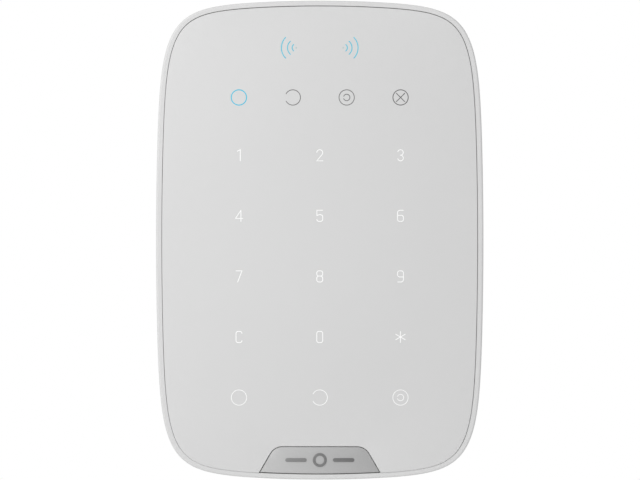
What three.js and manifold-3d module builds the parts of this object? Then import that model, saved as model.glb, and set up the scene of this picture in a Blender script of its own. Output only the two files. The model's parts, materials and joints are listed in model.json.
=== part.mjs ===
// A wall-mounted wireless alarm keypad with a touch panel, in millimetres.
//
// Everything is modelled in the panel's own frame: x to the right, y up and z out of the wall,
// with the origin in the middle of the bracket's wall face. The last lines turn that frame so
// that +Z is up and the keypad faces -Y.

import * as THREE from "three";
import { mergeVertices } from "three/addons/utils/BufferGeometryUtils.js";
import Module from "manifold-3d";

const wasm = await Module();
wasm.setup();

// ---------------------------------------------------------------------------------------------
// Driving dimensions. Every "z" is a distance from the wall.

const WIDTH = 112.8;
const HEIGHT = 165;
const DEPTH = 20;
const SIDE_BOW = 2.45; // how far the long sides bulge
const END_BOW = 3.7; // how far the top and bottom bulge
const CORNER_EXPONENT = 7.8; // how square the superellipse under the outline is
const HALF_SIDE_POINTS = 12; // outline points from the middle of a side to a corner
const SIDE_DRAW = 1.05; // an outline drawn in by 1 moves this far at the sides
const END_DRAW = 0.95; // and this far at the top and bottom

const LIFT = 6; // the keypad rises this far to come off the bracket
const TAMPER_RATIO = 0.2; // plunger travel for each millimetre of lift

const PANEL = { inset: 2.02, back: 18.4, chamfer: 0.15 };
const RIM = { width: 1.8, front: 19.7, radius: 0.8, bevel: 0.12 };
const FLANK = { taper: 1.5, shoulder: 17, back: 0.4 };
const LEDGE = { inset: 4.6, back: 16.6, front: 18.1 };
const WALL_INSET = 3.1; // inside face of the casing wall and of the skirt round the bracket
const BACK_PLATE = { back: 4, front: 5.4 };

const ADHESIVE = { outer: 2.3, inner: 4.4, back: 18.15, front: 18.35 };
const FILM = { inset: 5.2, back: 18.2, front: 18.32 };
const BARRIER = { inset: 5.2, back: 17.5, front: 18.12 };
const BOARD = { inset: 5, back: 16.4, front: 17.4 };

// Key grid: three columns and five rows, then the row of status marks and the two reader marks.
const KEY_PITCH_X = 27.8;
const KEY_PITCH_Y = 20.85;
const KEY_TOP_ROW = 29.2;
const KEY_NAMES = ["1 2 3", "4 5 6", "7 8 9", "clear 0 star", "arm disarm night"];
const STATUS_ROW = 49.1;
const STATUS_PITCH = 18.55;
const STATUS_NAMES = ["armed", "disarmed", "night", "fault"];
const READER_MARK = { x: 11.4, y: 66.2 };

const BADGE = { halfTop: 15.7, top: -70.86, halfBottom: 20.9, bottom: -79.8, radius: 5 };
const BADGE_Z = { floor: 19.1, back: 19.2, front: 19.6, mark: 19.85 };
const BADGE_GAP = 0.22;
const EMBLEM = { radius: 2.4, hole: 1.5, barX: 8.2, barLength: 7.4, barWidth: 1.3, drop: 0.4 };

const CELL = { radius: 7.2, length: 50.5, nubRadius: 2.75, nubLength: 1, z: 9.05 };
const BAY = { x: 35, width: 30.4, bottom: -40.5, top: 16.5, wall: 1.2, back: 2.2 };
const BAY_FLOOR = { back: 15, front: 15.9 };
const CELL_OFFSET = 7.6; // each cell's axis, sideways from the middle of its bay
const CONTACT = { thickness: 0.4, width: 11, back: 3, front: 16.25, wallGap: 0.1 };
const DIMPLE = { radius: 2, height: 0.7 };
const BATTERY_SPRING = { wire: 0.4, wide: 4.2, narrow: 2.6, turns: 3, length: 4.2 };

const BOARD_SCREWS = [
  [44, 60],
  [13.9, 18.7],
  [44, -58],
];
const BOSS = { radius: 2.6, bore: 1.1, boreBack: 9, front: 16.3 };
const BOARD_SCREW = { shank: 0.95, head: 1.9, back: 11.4, seat: 17.45, front: 18.05 };

const BRACKET = { inset: 4, thickness: 1.4, ribInset: 5.4, ribFront: 2 };
const HOOKS = [
  [30, 56],
  [-30, 56],
  [30, -62],
  [-30, -62],
]; // the lower middle of each hook
const HOOK = { width: 6, neck: 3, head: 6.5, neckFront: 5.7, front: 7.1 };
const HOOK_SLOT_GAP = 0.3;
const HOOK_WINDOW = { margin: 0.4, start: 0.3 }; // the opening the hook is moulded through
const RIBS = { x: 16.5, bottom: -50, top: 50, halfLength: 44, width: 1.2, front: 2.2 };

const TAMPER = { y: -12, tip: 3.2, tipRadius: 1.8, stem: 12.75, bore: 2.3 };
const TAMPER_COLLAR = { radius: 3.6, back: 7, front: 8 };
const TAMPER_SPRING = { wire: 0.25, radius: 2.9, turns: 4, back: 8.35, front: 12.6 };
const RAMP = { halfWidth: 2.6, rest: 3, below: 2.6, above: 2 };
const TAB = { halfWidth: 9, bottom: -27, top: -3.2, slot: 0.9, bridge: 1.4 };
const BUTTON = { y: 6.5, radius: 2.8, back: 3.3, front: 6.5, collar: 3.9, stem: 1.5, end: 12.3 };
const SWITCH = { width: 6, back: 12.9, front: 16.35 };

const ON_BOARD = { microcontroller: [-9, -28], radio: [7, -31], reader: [0, 38], buzzer: [0, -58] };
const READER_ANTENNA = { y: 60, width: 62, height: 30, track: 1, pitch: 2, thickness: 0.25 };
const RADIO_ANTENNA = { x: 11, y: -68, z: 13.3 };
const BUZZER = { radius: 6.5, height: 4.5, mouth: 1.3 };

const LUG = { halfWidth: 5, bottom: -79.6, top: -77.6, front: 7.5 };
const POCKET = { halfWidth: 6.2, roof: -77.3, front: 8.6, wall: 1.4 };
const LOCK_SCREW = {
  z: 4.6,
  shank: 1.25,
  head: 2.4,
  headHeight: 1.6,
  reach: 6.2,
  slot: { length: 2.6, width: 0.6, floor: 0.7 },
  bore: 1.45,
  lugBore: 1.6,
};
const PART_GAP = 0.1; // left under the lock screw's head
const BOARD_GAP = 0.05; // left under anything soldered or stuck on

// ---------------------------------------------------------------------------------------------
// Materials

const plastic = (color, roughness = 0.45) =>
  new THREE.MeshStandardMaterial({ color, roughness, metalness: 0 });
const metal = (color, roughness = 0.35) =>
  new THREE.MeshStandardMaterial({ color, roughness, metalness: 1 });

const MATERIALS = {
  panel: plastic(0xd9d9d9, 0.4),
  casing: plastic(0xdadada, 0.5),
  bracket: plastic(0xe2e2e0, 0.6),
  badge: new THREE.MeshStandardMaterial({ color: 0xb6b6b6, roughness: 0.4, metalness: 0.5 }),
  adhesive: plastic(0xf0efe8, 0.8),
  film: plastic(0xf4f6f6, 0.7),
  foam: plastic(0x161616, 0.95),
  board: plastic(0x1f5c36, 0.5),
  chip: plastic(0x17181a, 0.5),
  led: plastic(0xf2efd9, 0.3),
  can: metal(0xb9bcc0, 0.3),
  copper: metal(0xc27a45, 0.35),
  spring: metal(0xb4b6b8, 0.3),
  screw: metal(0x9a9c9f, 0.4),
  cell: new THREE.MeshStandardMaterial({ color: 0x2e3c4a, roughness: 0.35, metalness: 0.4 }),
  button: plastic(0x3a3c3e, 0.55),
  label: plastic(0xf4f4f2, 0.7),
};

// ---------------------------------------------------------------------------------------------
// Solids

// A manifold solid from a closed three.js geometry.
function solidFrom(geometry) {
  const bare = geometry.clone();
  bare.deleteAttribute("normal");
  bare.deleteAttribute("uv");
  const merged = mergeVertices(bare, 1e-4);
  return new wasm.Manifold(
    new wasm.Mesh({
      numProp: 3,
      vertProperties: new Float32Array(merged.attributes.position.array),
      triVerts: new Uint32Array(merged.index.array),
    }),
  );
}

function geometryFrom(solid) {
  const mesh = solid.getMesh();
  const geometry = new THREE.BufferGeometry();
  geometry.setAttribute("position", new THREE.BufferAttribute(mesh.vertProperties, 3));
  geometry.setIndex(new THREE.BufferAttribute(mesh.triVerts, 1));
  geometry.computeVertexNormals();
  return geometry;
}

const join = (first, ...rest) => rest.reduce((whole, next) => whole.add(next), first);
const cut = (first, ...rest) => rest.reduce((whole, next) => whole.subtract(next), first);

function box(x0, x1, y0, y1, z0, z1) {
  const geometry = new THREE.BoxGeometry(x1 - x0, y1 - y0, z1 - z0);
  return solidFrom(geometry.translate((x0 + x1) / 2, (y0 + y1) / 2, (z0 + z1) / 2));
}

// A box given by its middle and its sizes across x and y.
const block = (x, y, width, height, z0, z1) =>
  box(x - width / 2, x + width / 2, y - height / 2, y + height / 2, z0, z1);

// A round bar along z.
function rod(x, y, radius, z0, z1, segments = 20) {
  const geometry = new THREE.CylinderGeometry(radius, radius, z1 - z0, segments);
  return solidFrom(geometry.rotateX(Math.PI / 2).translate(x, y, (z0 + z1) / 2));
}

// A flat shape in x and y, from z0 to z1.
function plate(shape, z0, z1, curveSegments = 6) {
  const options = { depth: z1 - z0, bevelEnabled: false, curveSegments };
  return solidFrom(new THREE.ExtrudeGeometry(shape, options).translate(0, 0, z0));
}

// A profile of [y, z] points, drawn out along x from x0 to x1.
function prism(profile, x0, x1) {
  const shape = new THREE.Shape(profile.map(([y, z]) => new THREE.Vector2(y, z)));
  const geometry = new THREE.ExtrudeGeometry(shape, { depth: x1 - x0, bevelEnabled: false });
  const axes = new THREE.Matrix4().makeBasis(
    new THREE.Vector3(0, 1, 0),
    new THREE.Vector3(0, 0, 1),
    new THREE.Vector3(1, 0, 0),
  );
  return solidFrom(geometry.applyMatrix4(axes).translate(x0, 0, 0));
}

// A profile of [radius, height] points turned about an axis along y.
function turnedGeometry(profile, segments = 24) {
  return new THREE.LatheGeometry(
    profile.map(([radius, height]) => new THREE.Vector2(radius, height)),
    segments,
  );
}

// The same, with its axis along z.
const turnedAlongZ = (profile, segments = 24) =>
  solidFrom(turnedGeometry(profile, segments).rotateX(Math.PI / 2));

// A slot with round ends, lying along x.
function slotShape(x, y, length, width) {
  const reach = (length - width) / 2;
  const shape = new THREE.Shape();
  shape.absarc(x + reach, y, width / 2, -Math.PI / 2, Math.PI / 2);
  shape.absarc(x - reach, y, width / 2, Math.PI / 2, (3 * Math.PI) / 2);
  return shape;
}

function roundedRectangle(x, y, width, height, radius) {
  const shape = new THREE.Shape();
  const [right, top] = [width / 2 - radius, height / 2 - radius];
  shape.absarc(x + right, y - top, radius, -Math.PI / 2, 0);
  shape.absarc(x + right, y + top, radius, 0, Math.PI / 2);
  shape.absarc(x - right, y + top, radius, Math.PI / 2, Math.PI);
  shape.absarc(x - right, y - top, radius, Math.PI, (3 * Math.PI) / 2);
  return shape;
}

// A helix along y that can narrow from one end to the other.
class Helix extends THREE.Curve {
  constructor(startRadius, endRadius, turns, length) {
    super();
    Object.assign(this, { startRadius, endRadius, turns, length });
  }

  getPoint(t, target = new THREE.Vector3()) {
    const radius = this.startRadius + (this.endRadius - this.startRadius) * t;
    const angle = 2 * Math.PI * this.turns * t;
    return target.set(radius * Math.cos(angle), this.length * t, radius * Math.sin(angle));
  }
}

function coilGeometry(startRadius, endRadius, turns, length, wire, stepsPerTurn = 12) {
  const section = new THREE.Shape();
  section.absarc(0, 0, wire, 0, 2 * Math.PI);
  return new THREE.ExtrudeGeometry(section, {
    steps: Math.round(turns * stepsPerTurn),
    curveSegments: 3,
    bevelEnabled: false,
    extrudePath: new Helix(startRadius, endRadius, turns, length),
  });
}

// ---------------------------------------------------------------------------------------------
// The keypad's outline: a squarish superellipse whose sides and ends are drawn in at the corners.

function outlineLoop(inset) {
  const corner = 2 ** (-1 / CORNER_EXPONENT);
  const other = (w) => (1 - w ** CORNER_EXPONENT) ** (1 / CORNER_EXPONENT);
  const side = Array.from({ length: HALF_SIDE_POINTS }, (_, i) => {
    const v = corner * Math.sin((Math.PI * i) / (2 * HALF_SIDE_POINTS));
    return [other(v), v];
  });
  const end = side.slice(1).reverse();
  const quarter = [...side, [corner, corner], ...end.map(([u, v]) => [v, u])];
  const unit = [
    ...quarter,
    ...quarter.map(([u, v]) => [-v, u]),
    ...quarter.map(([u, v]) => [-u, -v]),
    ...quarter.map(([u, v]) => [v, -u]),
  ];
  const points = unit.map(
    ([u, v]) =>
      new THREE.Vector2(
        u * (WIDTH / 2 - SIDE_BOW * v * v),
        v * (HEIGHT / 2 - END_BOW * u * u),
      ),
  );
  return points.map((point, i) => {
    const next = points[(i + 1) % points.length];
    const along = next.clone().sub(points.at(i - 1)).normalize();
    return new THREE.Vector2(
      point.x - along.y * inset * SIDE_DRAW,
      point.y + along.x * inset * END_DRAW,
    );
  });
}

// Rings of [inset, z], each an outline drawn in by its inset, joined into a skin. The rings of a
// closed section meet again at the start, and an open stack is capped at both ends.
function outlineSolid(rings, closedSection) {
  const loops = rings.map(([inset, z]) => outlineLoop(inset).map((p) => [p.x, p.y, z]));
  const count = loops[0].length;
  const index = [];
  const last = closedSection ? loops.length : loops.length - 1;
  for (let ring = 0; ring < last; ring++) {
    const here = ring * count;
    const above = ((ring + 1) % loops.length) * count;
    for (let i = 0; i < count; i++) {
      const next = (i + 1) % count;
      index.push(here + i, here + next, above + next, here + i, above + next, above + i);
    }
  }
  if (!closedSection) {
    const flat = loops[0].map(([x, y]) => new THREE.Vector2(x, y));
    const top = (loops.length - 1) * count;
    for (const [a, b, c] of THREE.ShapeUtils.triangulateShape(flat, [])) {
      index.push(c, b, a, top + a, top + b, top + c);
    }
  }
  const geometry = new THREE.BufferGeometry();
  geometry.setAttribute("position", new THREE.Float32BufferAttribute(loops.flat(2), 3));
  geometry.setIndex(index);
  return solidFrom(geometry);
}

const outlinePlate = (inset, z0, z1) =>
  outlineSolid(
    [
      [inset, z0],
      [inset, z1],
    ],
    false,
  );
const outlineFrame = (rings) => outlineSolid(rings, true);

// ---------------------------------------------------------------------------------------------
// Key places

const keyX = (column) => (column - 1) * KEY_PITCH_X;
const keyY = (row) => KEY_TOP_ROW - row * KEY_PITCH_Y;
const statusX = (i) => (i - 1.5) * STATUS_PITCH;
const mirrored = (places) => places.flatMap(([x, y]) => [
  [x, y],
  [-x, y],
]);

// ---------------------------------------------------------------------------------------------
// Front

// The badge's outline: a trapezium with round upper corners, running down past the panel's edge.
function badgeShape(margin, bottom) {
  const slope = (BADGE.top - BADGE.bottom) / (BADGE.halfBottom - BADGE.halfTop);
  const grow = margin * Math.hypot(1, 1 / slope);
  const top = BADGE.top + margin;
  const halfAt = (y) => BADGE.halfTop + grow + (BADGE.top - y) / slope;
  const run = BADGE.radius * Math.tan((Math.PI / 2 - Math.atan(1 / slope)) / 2);
  const down = run * Math.sin(Math.atan(slope));
  const shape = new THREE.Shape();
  shape.moveTo(-halfAt(bottom), bottom);
  shape.lineTo(halfAt(bottom), bottom);
  shape.lineTo(halfAt(top - down), top - down);
  shape.quadraticCurveTo(halfAt(top), top, halfAt(top) - run, top);
  shape.lineTo(-halfAt(top) + run, top);
  shape.quadraticCurveTo(-halfAt(top), top, -halfAt(top - down), top - down);
  return shape;
}

function frontPanel() {
  const whole = outlineSolid(
    [
      [PANEL.inset, PANEL.back],
      [PANEL.inset, DEPTH - PANEL.chamfer],
      [PANEL.inset + PANEL.chamfer, DEPTH],
    ],
    false,
  );
  return cut(whole, plate(badgeShape(0, -HEIGHT / 2), BADGE_Z.floor, DEPTH + 1));
}

// The badge carries a plain raised mark: a ring between two bars.
function badgePlate() {
  const blank = plate(badgeShape(-BADGE_GAP, -HEIGHT / 2), BADGE_Z.back, BADGE_Z.front);
  const trimmed = blank.intersect(outlinePlate(PANEL.inset, BADGE_Z.back, BADGE_Z.front));
  const { radius, hole, barX, barLength, barWidth, drop } = EMBLEM;
  const middle = (BADGE.top + BADGE.bottom) / 2 - drop;
  const root = BADGE_Z.front - 0.2;
  const ring = cut(
    rod(0, middle, radius, root, BADGE_Z.mark, 24),
    rod(0, middle, hole, BADGE_Z.front, BADGE_Z.mark + 1, 24),
  );
  const bar = (side) =>
    plate(slotShape(side * barX, middle, barLength, barWidth), root, BADGE_Z.mark);
  return join(trimmed, ring, bar(1), bar(-1));
}

const panelAdhesive = () =>
  outlineFrame([
    [ADHESIVE.outer, ADHESIVE.back],
    [ADHESIVE.outer, ADHESIVE.front],
    [ADHESIVE.inner, ADHESIVE.front],
    [ADHESIVE.inner, ADHESIVE.back],
  ]);

// Black foam that keeps each key's light to itself.
function lightBarrier() {
  const hole = (x, y, radius) => rod(x, y, radius, BARRIER.back - 1, BARRIER.front + 1, 10);
  const keys = [0, 1, 2, 3, 4].flatMap((row) => [0, 1, 2].map((c) => hole(keyX(c), keyY(row), 4.4)));
  const status = STATUS_NAMES.map((_, i) => hole(statusX(i), STATUS_ROW, 3.9));
  const readers = [-1, 1].map((side) => hole(side * READER_MARK.x, READER_MARK.y, 4.6));
  const screws = mirrored(BOARD_SCREWS).map(([x, y]) => hole(x, y, 2.4));
  const sheet = outlinePlate(BARRIER.inset, BARRIER.back, BARRIER.front);
  return cut(sheet, ...keys, ...status, ...readers, ...screws);
}

function touchBoard() {
  const holes = mirrored(BOARD_SCREWS).map(([x, y]) =>
    rod(x, y, 1.3, BOARD.back - 1, BOARD.front + 1, 12),
  );
  return cut(outlinePlate(BOARD.inset, BOARD.back, BOARD.front), ...holes);
}

const led = () => block(0, 0, 1.6, 0.8, 0, 0.5);

// ---------------------------------------------------------------------------------------------
// Casing

// The section of the casing wall: flank, rounded rim, seat for the panel, then the inside.
function casingWall() {
  const flankInset = (z) => FLANK.taper * (1 - z / FLANK.shoulder) ** 2;
  const flank = [FLANK.back + 0.3, 6, 11.5, FLANK.shoulder].map((z) => [flankInset(z), z]);
  const turn = [0, 1, 2, 3].map((i) => {
    const angle = (Math.PI / 2) * (i / 3);
    return [
      RIM.radius * (1 - Math.cos(angle)),
      RIM.front - RIM.radius * (1 - Math.sin(angle)),
    ];
  });
  return outlineFrame([
    ...flank,
    ...turn,
    [RIM.width - RIM.bevel, RIM.front],
    [RIM.width, RIM.front - RIM.bevel],
    [RIM.width, LEDGE.front],
    [LEDGE.inset, LEDGE.front],
    [LEDGE.inset, LEDGE.back],
    [WALL_INSET, LEDGE.back - 1],
    [WALL_INSET, FLANK.back],
    [flankInset(0) + 0.2, FLANK.back],
  ]);
}

const cellAxes = (side) => [side * (BAY.x + CELL_OFFSET), side * (BAY.x - CELL_OFFSET)];

// Walls round one battery bay, and what has to be cut out of the casing for it.
function bayWalls(side) {
  const height = BAY.top - BAY.bottom;
  const middle = (BAY.top + BAY.bottom) / 2;
  const [width, tall] = [BAY.width + 2 * BAY.wall, height + 2 * BAY.wall];
  return block(side * BAY.x, middle, width, tall, BAY.back, BAY_FLOOR.front);
}

function bayHollow(side) {
  const middle = (BAY.top + BAY.bottom) / 2;
  const height = BAY.top - BAY.bottom;
  const contactSlot = (y) => block(side * BAY.x, y, BAY.width, 0.8, 0, DEPTH);
  const cradles = cellAxes(side).map((x) => block(x, middle, 9.2, height - 3, 0, DEPTH));
  return join(
    block(side * BAY.x, middle, BAY.width, height, -1, BAY_FLOOR.back),
    contactSlot(BAY.bottom + 0.4),
    contactSlot(BAY.top - 0.4),
    ...cradles,
  );
}

// The pocket in the bottom edge that takes the bracket's lug and its lock screw.
function lockPocket() {
  const { halfWidth, roof, front, wall } = POCKET;
  const outer = halfWidth + wall;
  const housing = box(-outer, outer, -HEIGHT / 2 + 2, roof + 7, BACK_PLATE.back, front + wall);
  const hollow = box(-halfWidth, halfWidth, -HEIGHT, roof, -1, front);
  const bore = new THREE.CylinderGeometry(LOCK_SCREW.bore, LOCK_SCREW.bore, 7.4, 16);
  const hole = solidFrom(bore.translate(0, roof + 3.6, LOCK_SCREW.z));
  return { housing, hollow, hole };
}

function rearHousing() {
  const { housing, hollow, hole } = lockPocket();
  const bosses = mirrored(BOARD_SCREWS).map(([x, y]) =>
    rod(x, y, BOSS.radius, BACK_PLATE.front - 0.5, BOSS.front, 16),
  );
  const bores = mirrored(BOARD_SCREWS).map(([x, y]) =>
    rod(x, y, BOSS.bore, BOSS.boreBack, BOSS.front + 1, 12),
  );
  const hookSlots = HOOKS.map(([x, y]) =>
    box(
      x - HOOK.width / 2 - 0.5,
      x + HOOK.width / 2 + 0.5,
      y - LIFT - HOOK_SLOT_GAP,
      y + HOOK.neck + HOOK_SLOT_GAP,
      BACK_PLATE.back - 1,
      BACK_PLATE.front + 1,
    ),
  );
  const soundSlots = [-3.2, 0, 3.2].map((step) =>
    plate(slotShape(0, -58 + step, 10, 1.3), BACK_PLATE.back - 1, BACK_PLATE.front + 1, 3),
  );
  const through = (y, radius) => rod(0, y, radius, BACK_PLATE.back - 1, BACK_PLATE.front + 1);
  const solid = join(
    casingWall(),
    outlinePlate(WALL_INSET - 0.4, BACK_PLATE.back, BACK_PLATE.front),
    bayWalls(1),
    bayWalls(-1),
    housing,
    ...bosses,
  );
  return cut(
    solid,
    hollow,
    hole,
    bayHollow(1),
    bayHollow(-1),
    ...bores,
    ...hookSlots,
    ...soundSlots,
    through(TAMPER.y, TAMPER.bore),
    through(BUTTON.y, BUTTON.radius + 0.3),
  );
}

// ---------------------------------------------------------------------------------------------
// Wall bracket

// A plate that stays inside the casing's skirt both at rest and with the keypad lifted.
function bracketPlate(inset, z0, z1) {
  const settled = outlinePlate(inset, z0, z1);
  return settled.intersect(outlinePlate(inset, z0, z1).translate(0, LIFT, 0));
}

function bracketHook([x, y]) {
  const root = BRACKET.thickness - 0.3;
  const profile = [
    [y, root],
    [y + HOOK.neck, root],
    [y + HOOK.neck, HOOK.neckFront],
    [y + HOOK.head, HOOK.neckFront],
    [y + HOOK.head, HOOK.front],
    [y, HOOK.front],
  ];
  return prism(profile, x - HOOK.width / 2, x + HOOK.width / 2);
}

// The ramp that holds the tamper plunger in until the keypad lifts.
function tamperRamp() {
  const { halfWidth, rest, below, above } = RAMP;
  const start = TAMPER.y - below;
  const end = TAMPER.y + LIFT + above;
  const heightAt = (y) => rest - TAMPER_RATIO * (y - TAMPER.y);
  const root = BRACKET.thickness - 0.3;
  const profile = [
    [start, root],
    [end, root],
    [end, heightAt(end)],
    [start, heightAt(start)],
  ];
  return prism(profile, -halfWidth, halfWidth);
}

// Slots that leave the tamper tab hanging on narrow bridges, so that it snaps off if it is forced.
function tabPerforation() {
  const { halfWidth, bottom, top, slot, bridge } = TAB;
  const middle = (bottom + top) / 2;
  const [z0, z1] = [-1, BRACKET.thickness + 1];
  const upright = (x, y0, y1) => block(x, (y0 + y1) / 2, slot, y1 - y0, z0, z1);
  const length = halfWidth - bridge / 2;
  const level = (side, y) => block((side * (halfWidth + bridge / 2)) / 2, y, length, slot, z0, z1);
  return [-1, 1].flatMap((side) => [
    upright(side * halfWidth, bottom, middle - bridge / 2),
    upright(side * halfWidth, middle + bridge / 2, top),
    level(side, bottom),
    level(side, top),
  ]);
}

function bracketLug() {
  const { halfWidth, bottom, top, front } = LUG;
  const tongue = box(-halfWidth, halfWidth, bottom, -70, 0, BRACKET.thickness);
  const lug = box(-halfWidth, halfWidth, bottom, top, 0, front);
  const { lugBore } = LOCK_SCREW;
  const bore = new THREE.CylinderGeometry(lugBore, lugBore, 4, 16);
  const hole = solidFrom(bore.translate(0, (bottom + top) / 2, LOCK_SCREW.z));
  return cut(join(tongue, lug), hole);
}

// The plate is open behind each hook's overhang, where the mould reaches through.
function hookWindow([x, y]) {
  const { margin, start } = HOOK_WINDOW;
  const bottom = y + HOOK.neck + start;
  const top = y + HOOK.head + margin;
  const width = HOOK.width + 2 * margin;
  return block(x, (bottom + top) / 2, width, top - bottom, -1, BRACKET.thickness + 1);
}

// Two uprights and two crossbars that stiffen the plate, clear of the cells.
function stiffeners() {
  const { x, bottom, top, halfLength, width, front } = RIBS;
  const root = BRACKET.thickness - 0.3;
  const uprights = [-x, x].map((at) => block(at, 0, width, top - bottom, root, front));
  const crossbars = [bottom, top].map((at) => block(0, at, 2 * halfLength, width, root, front));
  return [...uprights, ...crossbars];
}

function wallBracket() {
  const { inset, thickness, ribInset, ribFront } = BRACKET;
  const rib = cut(
    bracketPlate(inset, thickness - 0.3, ribFront),
    bracketPlate(ribInset, thickness - 1, ribFront + 1),
  );
  const screwSlots = [
    [14, 66],
    [-14, 66],
    [14, -62],
    [-14, -62],
  ].map(([x, y]) => plate(slotShape(x, y, 9, 4.6), -1, thickness + 1, 4));
  const tabHole = rod(0, -21.5, 2.3, -1, thickness + 1, 16);
  const solid = join(
    bracketPlate(inset, 0, thickness),
    rib,
    tamperRamp(),
    bracketLug(),
    ...HOOKS.map(bracketHook),
    ...stiffeners(),
  );
  return cut(solid, tabHole, ...screwSlots, ...tabPerforation(), ...HOOKS.map(hookWindow));
}

// The screw that locks the keypad to the bracket from below: a domed head with a cross slot. It
// points up, with the origin under its head.
function lockScrew() {
  const { shank, head, headHeight, reach, slot } = LOCK_SCREW;
  const profile = [
    [0, -headHeight],
    [head * 0.6, -headHeight],
    [head, -headHeight * 0.5],
    [head, 0],
    [shank, 0],
    [shank, reach],
    [shank * 0.5, reach + 0.8],
    [0, reach + 0.8],
  ];
  const arm = (width, depth) =>
    block(0, 0, width, 2 * (headHeight - slot.floor), -depth / 2, depth / 2).translate(
      0,
      -headHeight,
      0,
    );
  const body = solidFrom(turnedGeometry(profile, 20));
  return cut(body, arm(slot.length, slot.width), arm(slot.width, slot.length));
}

// ---------------------------------------------------------------------------------------------
// Tamper switch and power button

function tamperPlunger() {
  const { tip, tipRadius, stem } = TAMPER;
  const { radius, back, front } = TAMPER_COLLAR;
  const dome = [0, 1, 2, 3, 4].map((i) => {
    const angle = (Math.PI / 2) * (i / 4);
    return [tipRadius * Math.sin(angle), tip + tipRadius * (1 - Math.cos(angle))];
  });
  const profile = [
    ...dome,
    [tipRadius, back],
    [radius, back],
    [radius, front],
    [tipRadius, front],
    [tipRadius, stem],
    [0, stem],
  ];
  return turnedAlongZ(profile, 16);
}

function tamperSpring() {
  const { wire, radius, turns, back, front } = TAMPER_SPRING;
  const coil = coilGeometry(radius, radius, turns, front - back - 2 * wire, wire);
  return solidFrom(coil.rotateX(Math.PI / 2).translate(0, 0, back + wire));
}

function powerButton() {
  const { radius, back, front, collar, stem, end } = BUTTON;
  const profile = [
    [0, back],
    [radius - 0.4, back],
    [radius, back + 0.4],
    [radius, BACK_PLATE.front + 0.3],
    [collar, BACK_PLATE.front + 0.3],
    [collar, front],
    [stem, front],
    [stem, end],
    [0, end],
  ];
  return turnedAlongZ(profile, 20);
}

const tactileSwitch = () => block(0, 0, SWITCH.width, SWITCH.width, SWITCH.back, SWITCH.front);

// ---------------------------------------------------------------------------------------------
// Cells and their contacts

// A cylindrical cell standing on its flat end, with its terminal nub up.
function cell() {
  const { radius, length, nubRadius, nubLength } = CELL;
  const body = length - nubLength;
  const profile = [
    [0, 0],
    [radius - 0.6, 0],
    [radius, 0.6],
    [radius, body - 0.6],
    [radius - 0.6, body],
    [nubRadius, body],
    [nubRadius, length],
    [0, length],
  ];
  return solidFrom(turnedGeometry(profile, 28));
}

// Contact plates stand against the ends of the bay. "end" is 1 at the top and -1 at the bottom.
function contactPlate(x0, x1, end) {
  const face = end > 0 ? BAY.top - CONTACT.wallGap : BAY.bottom + CONTACT.wallGap;
  const inner = face - end * CONTACT.thickness;
  return box(x0, x1, Math.min(face, inner), Math.max(face, inner), CONTACT.back, CONTACT.front);
}

const contactFace = (end) =>
  end > 0
    ? BAY.top - CONTACT.wallGap - CONTACT.thickness
    : BAY.bottom + CONTACT.wallGap + CONTACT.thickness;

function contactSpring(x, end) {
  const { wire, wide, narrow, turns, length } = BATTERY_SPRING;
  const coil = coilGeometry(wide, narrow, turns, length, wire);
  if (end > 0) {
    coil.rotateX(Math.PI);
  }
  return solidFrom(coil.translate(x, contactFace(end), CELL.z));
}

function contactDimple(x, end) {
  const root = contactFace(end) + end * 0.2;
  const tip = contactFace(end) - end * DIMPLE.height;
  const pin = new THREE.CylinderGeometry(DIMPLE.radius, DIMPLE.radius, Math.abs(root - tip), 16);
  return solidFrom(pin.translate(x, (root + tip) / 2, CELL.z));
}

const around = (x) => [x - CONTACT.width / 2, x + CONTACT.width / 2];
const positiveContact = (x) => join(contactPlate(...around(x), 1), contactDimple(x, 1));
const springContact = (x) => join(contactPlate(...around(x), 1), contactSpring(x, 1));

function bridgeContact(springX, dimpleX) {
  const [left, right] = [Math.min(springX, dimpleX), Math.max(springX, dimpleX)];
  const strip = contactPlate(left - CONTACT.width / 2, right + CONTACT.width / 2, -1);
  return join(strip, contactSpring(springX, -1), contactDimple(dimpleX, -1));
}

// ---------------------------------------------------------------------------------------------
// Electronics on the back of the board

// These stand on the board's back face, so they run from z = 0 down to minus their height.
const chip = (width, height, tall) => block(0, 0, width, height, -tall, 0);
const radioModule = () => plate(roundedRectangle(0, 0, 15, 17, 1), -2.4, 0, 3);

function buzzer() {
  const { radius, height, mouth } = BUZZER;
  const body = rod(0, 0, radius, -height, 0, 28);
  return cut(body, rod(0, 0, mouth, -height - 1, 1.5 - height, 12));
}

// Three turns of the reader's antenna, joined by one short strip.
function readerAntenna() {
  const { width, height, track, pitch, thickness } = READER_ANTENNA;
  const turn = (step) => {
    const [wide, tall] = [width - 2 * pitch * step, height - 2 * pitch * step];
    const outer = roundedRectangle(0, 0, wide, tall, 3);
    const inner = roundedRectangle(0, 0, wide - 2 * track, tall - 2 * track, 2);
    return cut(plate(outer, -thickness, 0, 3), plate(inner, -thickness - 1, 1, 3));
  };
  const across = 2 * pitch + track;
  const strip = block(13, (across - height) / 2 + 0.1, 2, across - 0.2, -thickness, 0);
  return join(turn(0), turn(1), turn(2), strip);
}

const radioAntenna = () => solidFrom(coilGeometry(2.3, 2.3, 6, 17, 0.35, 9));

// ---------------------------------------------------------------------------------------------
// Assembly: one group for each piece that moves on its own

const object = new THREE.Group();
object.rotation.x = Math.PI / 2;

function groupIn(parent, name) {
  const group = new THREE.Group();
  group.name = name;
  parent.add(group);
  return group;
}

const bracket = groupIn(object, "bracket_group");
const lock = groupIn(object, "lock_group");
const keypad = groupIn(object, "keypad_group");
const tamper = groupIn(keypad, "tamper_group");
const power = groupIn(keypad, "power_group");

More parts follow.
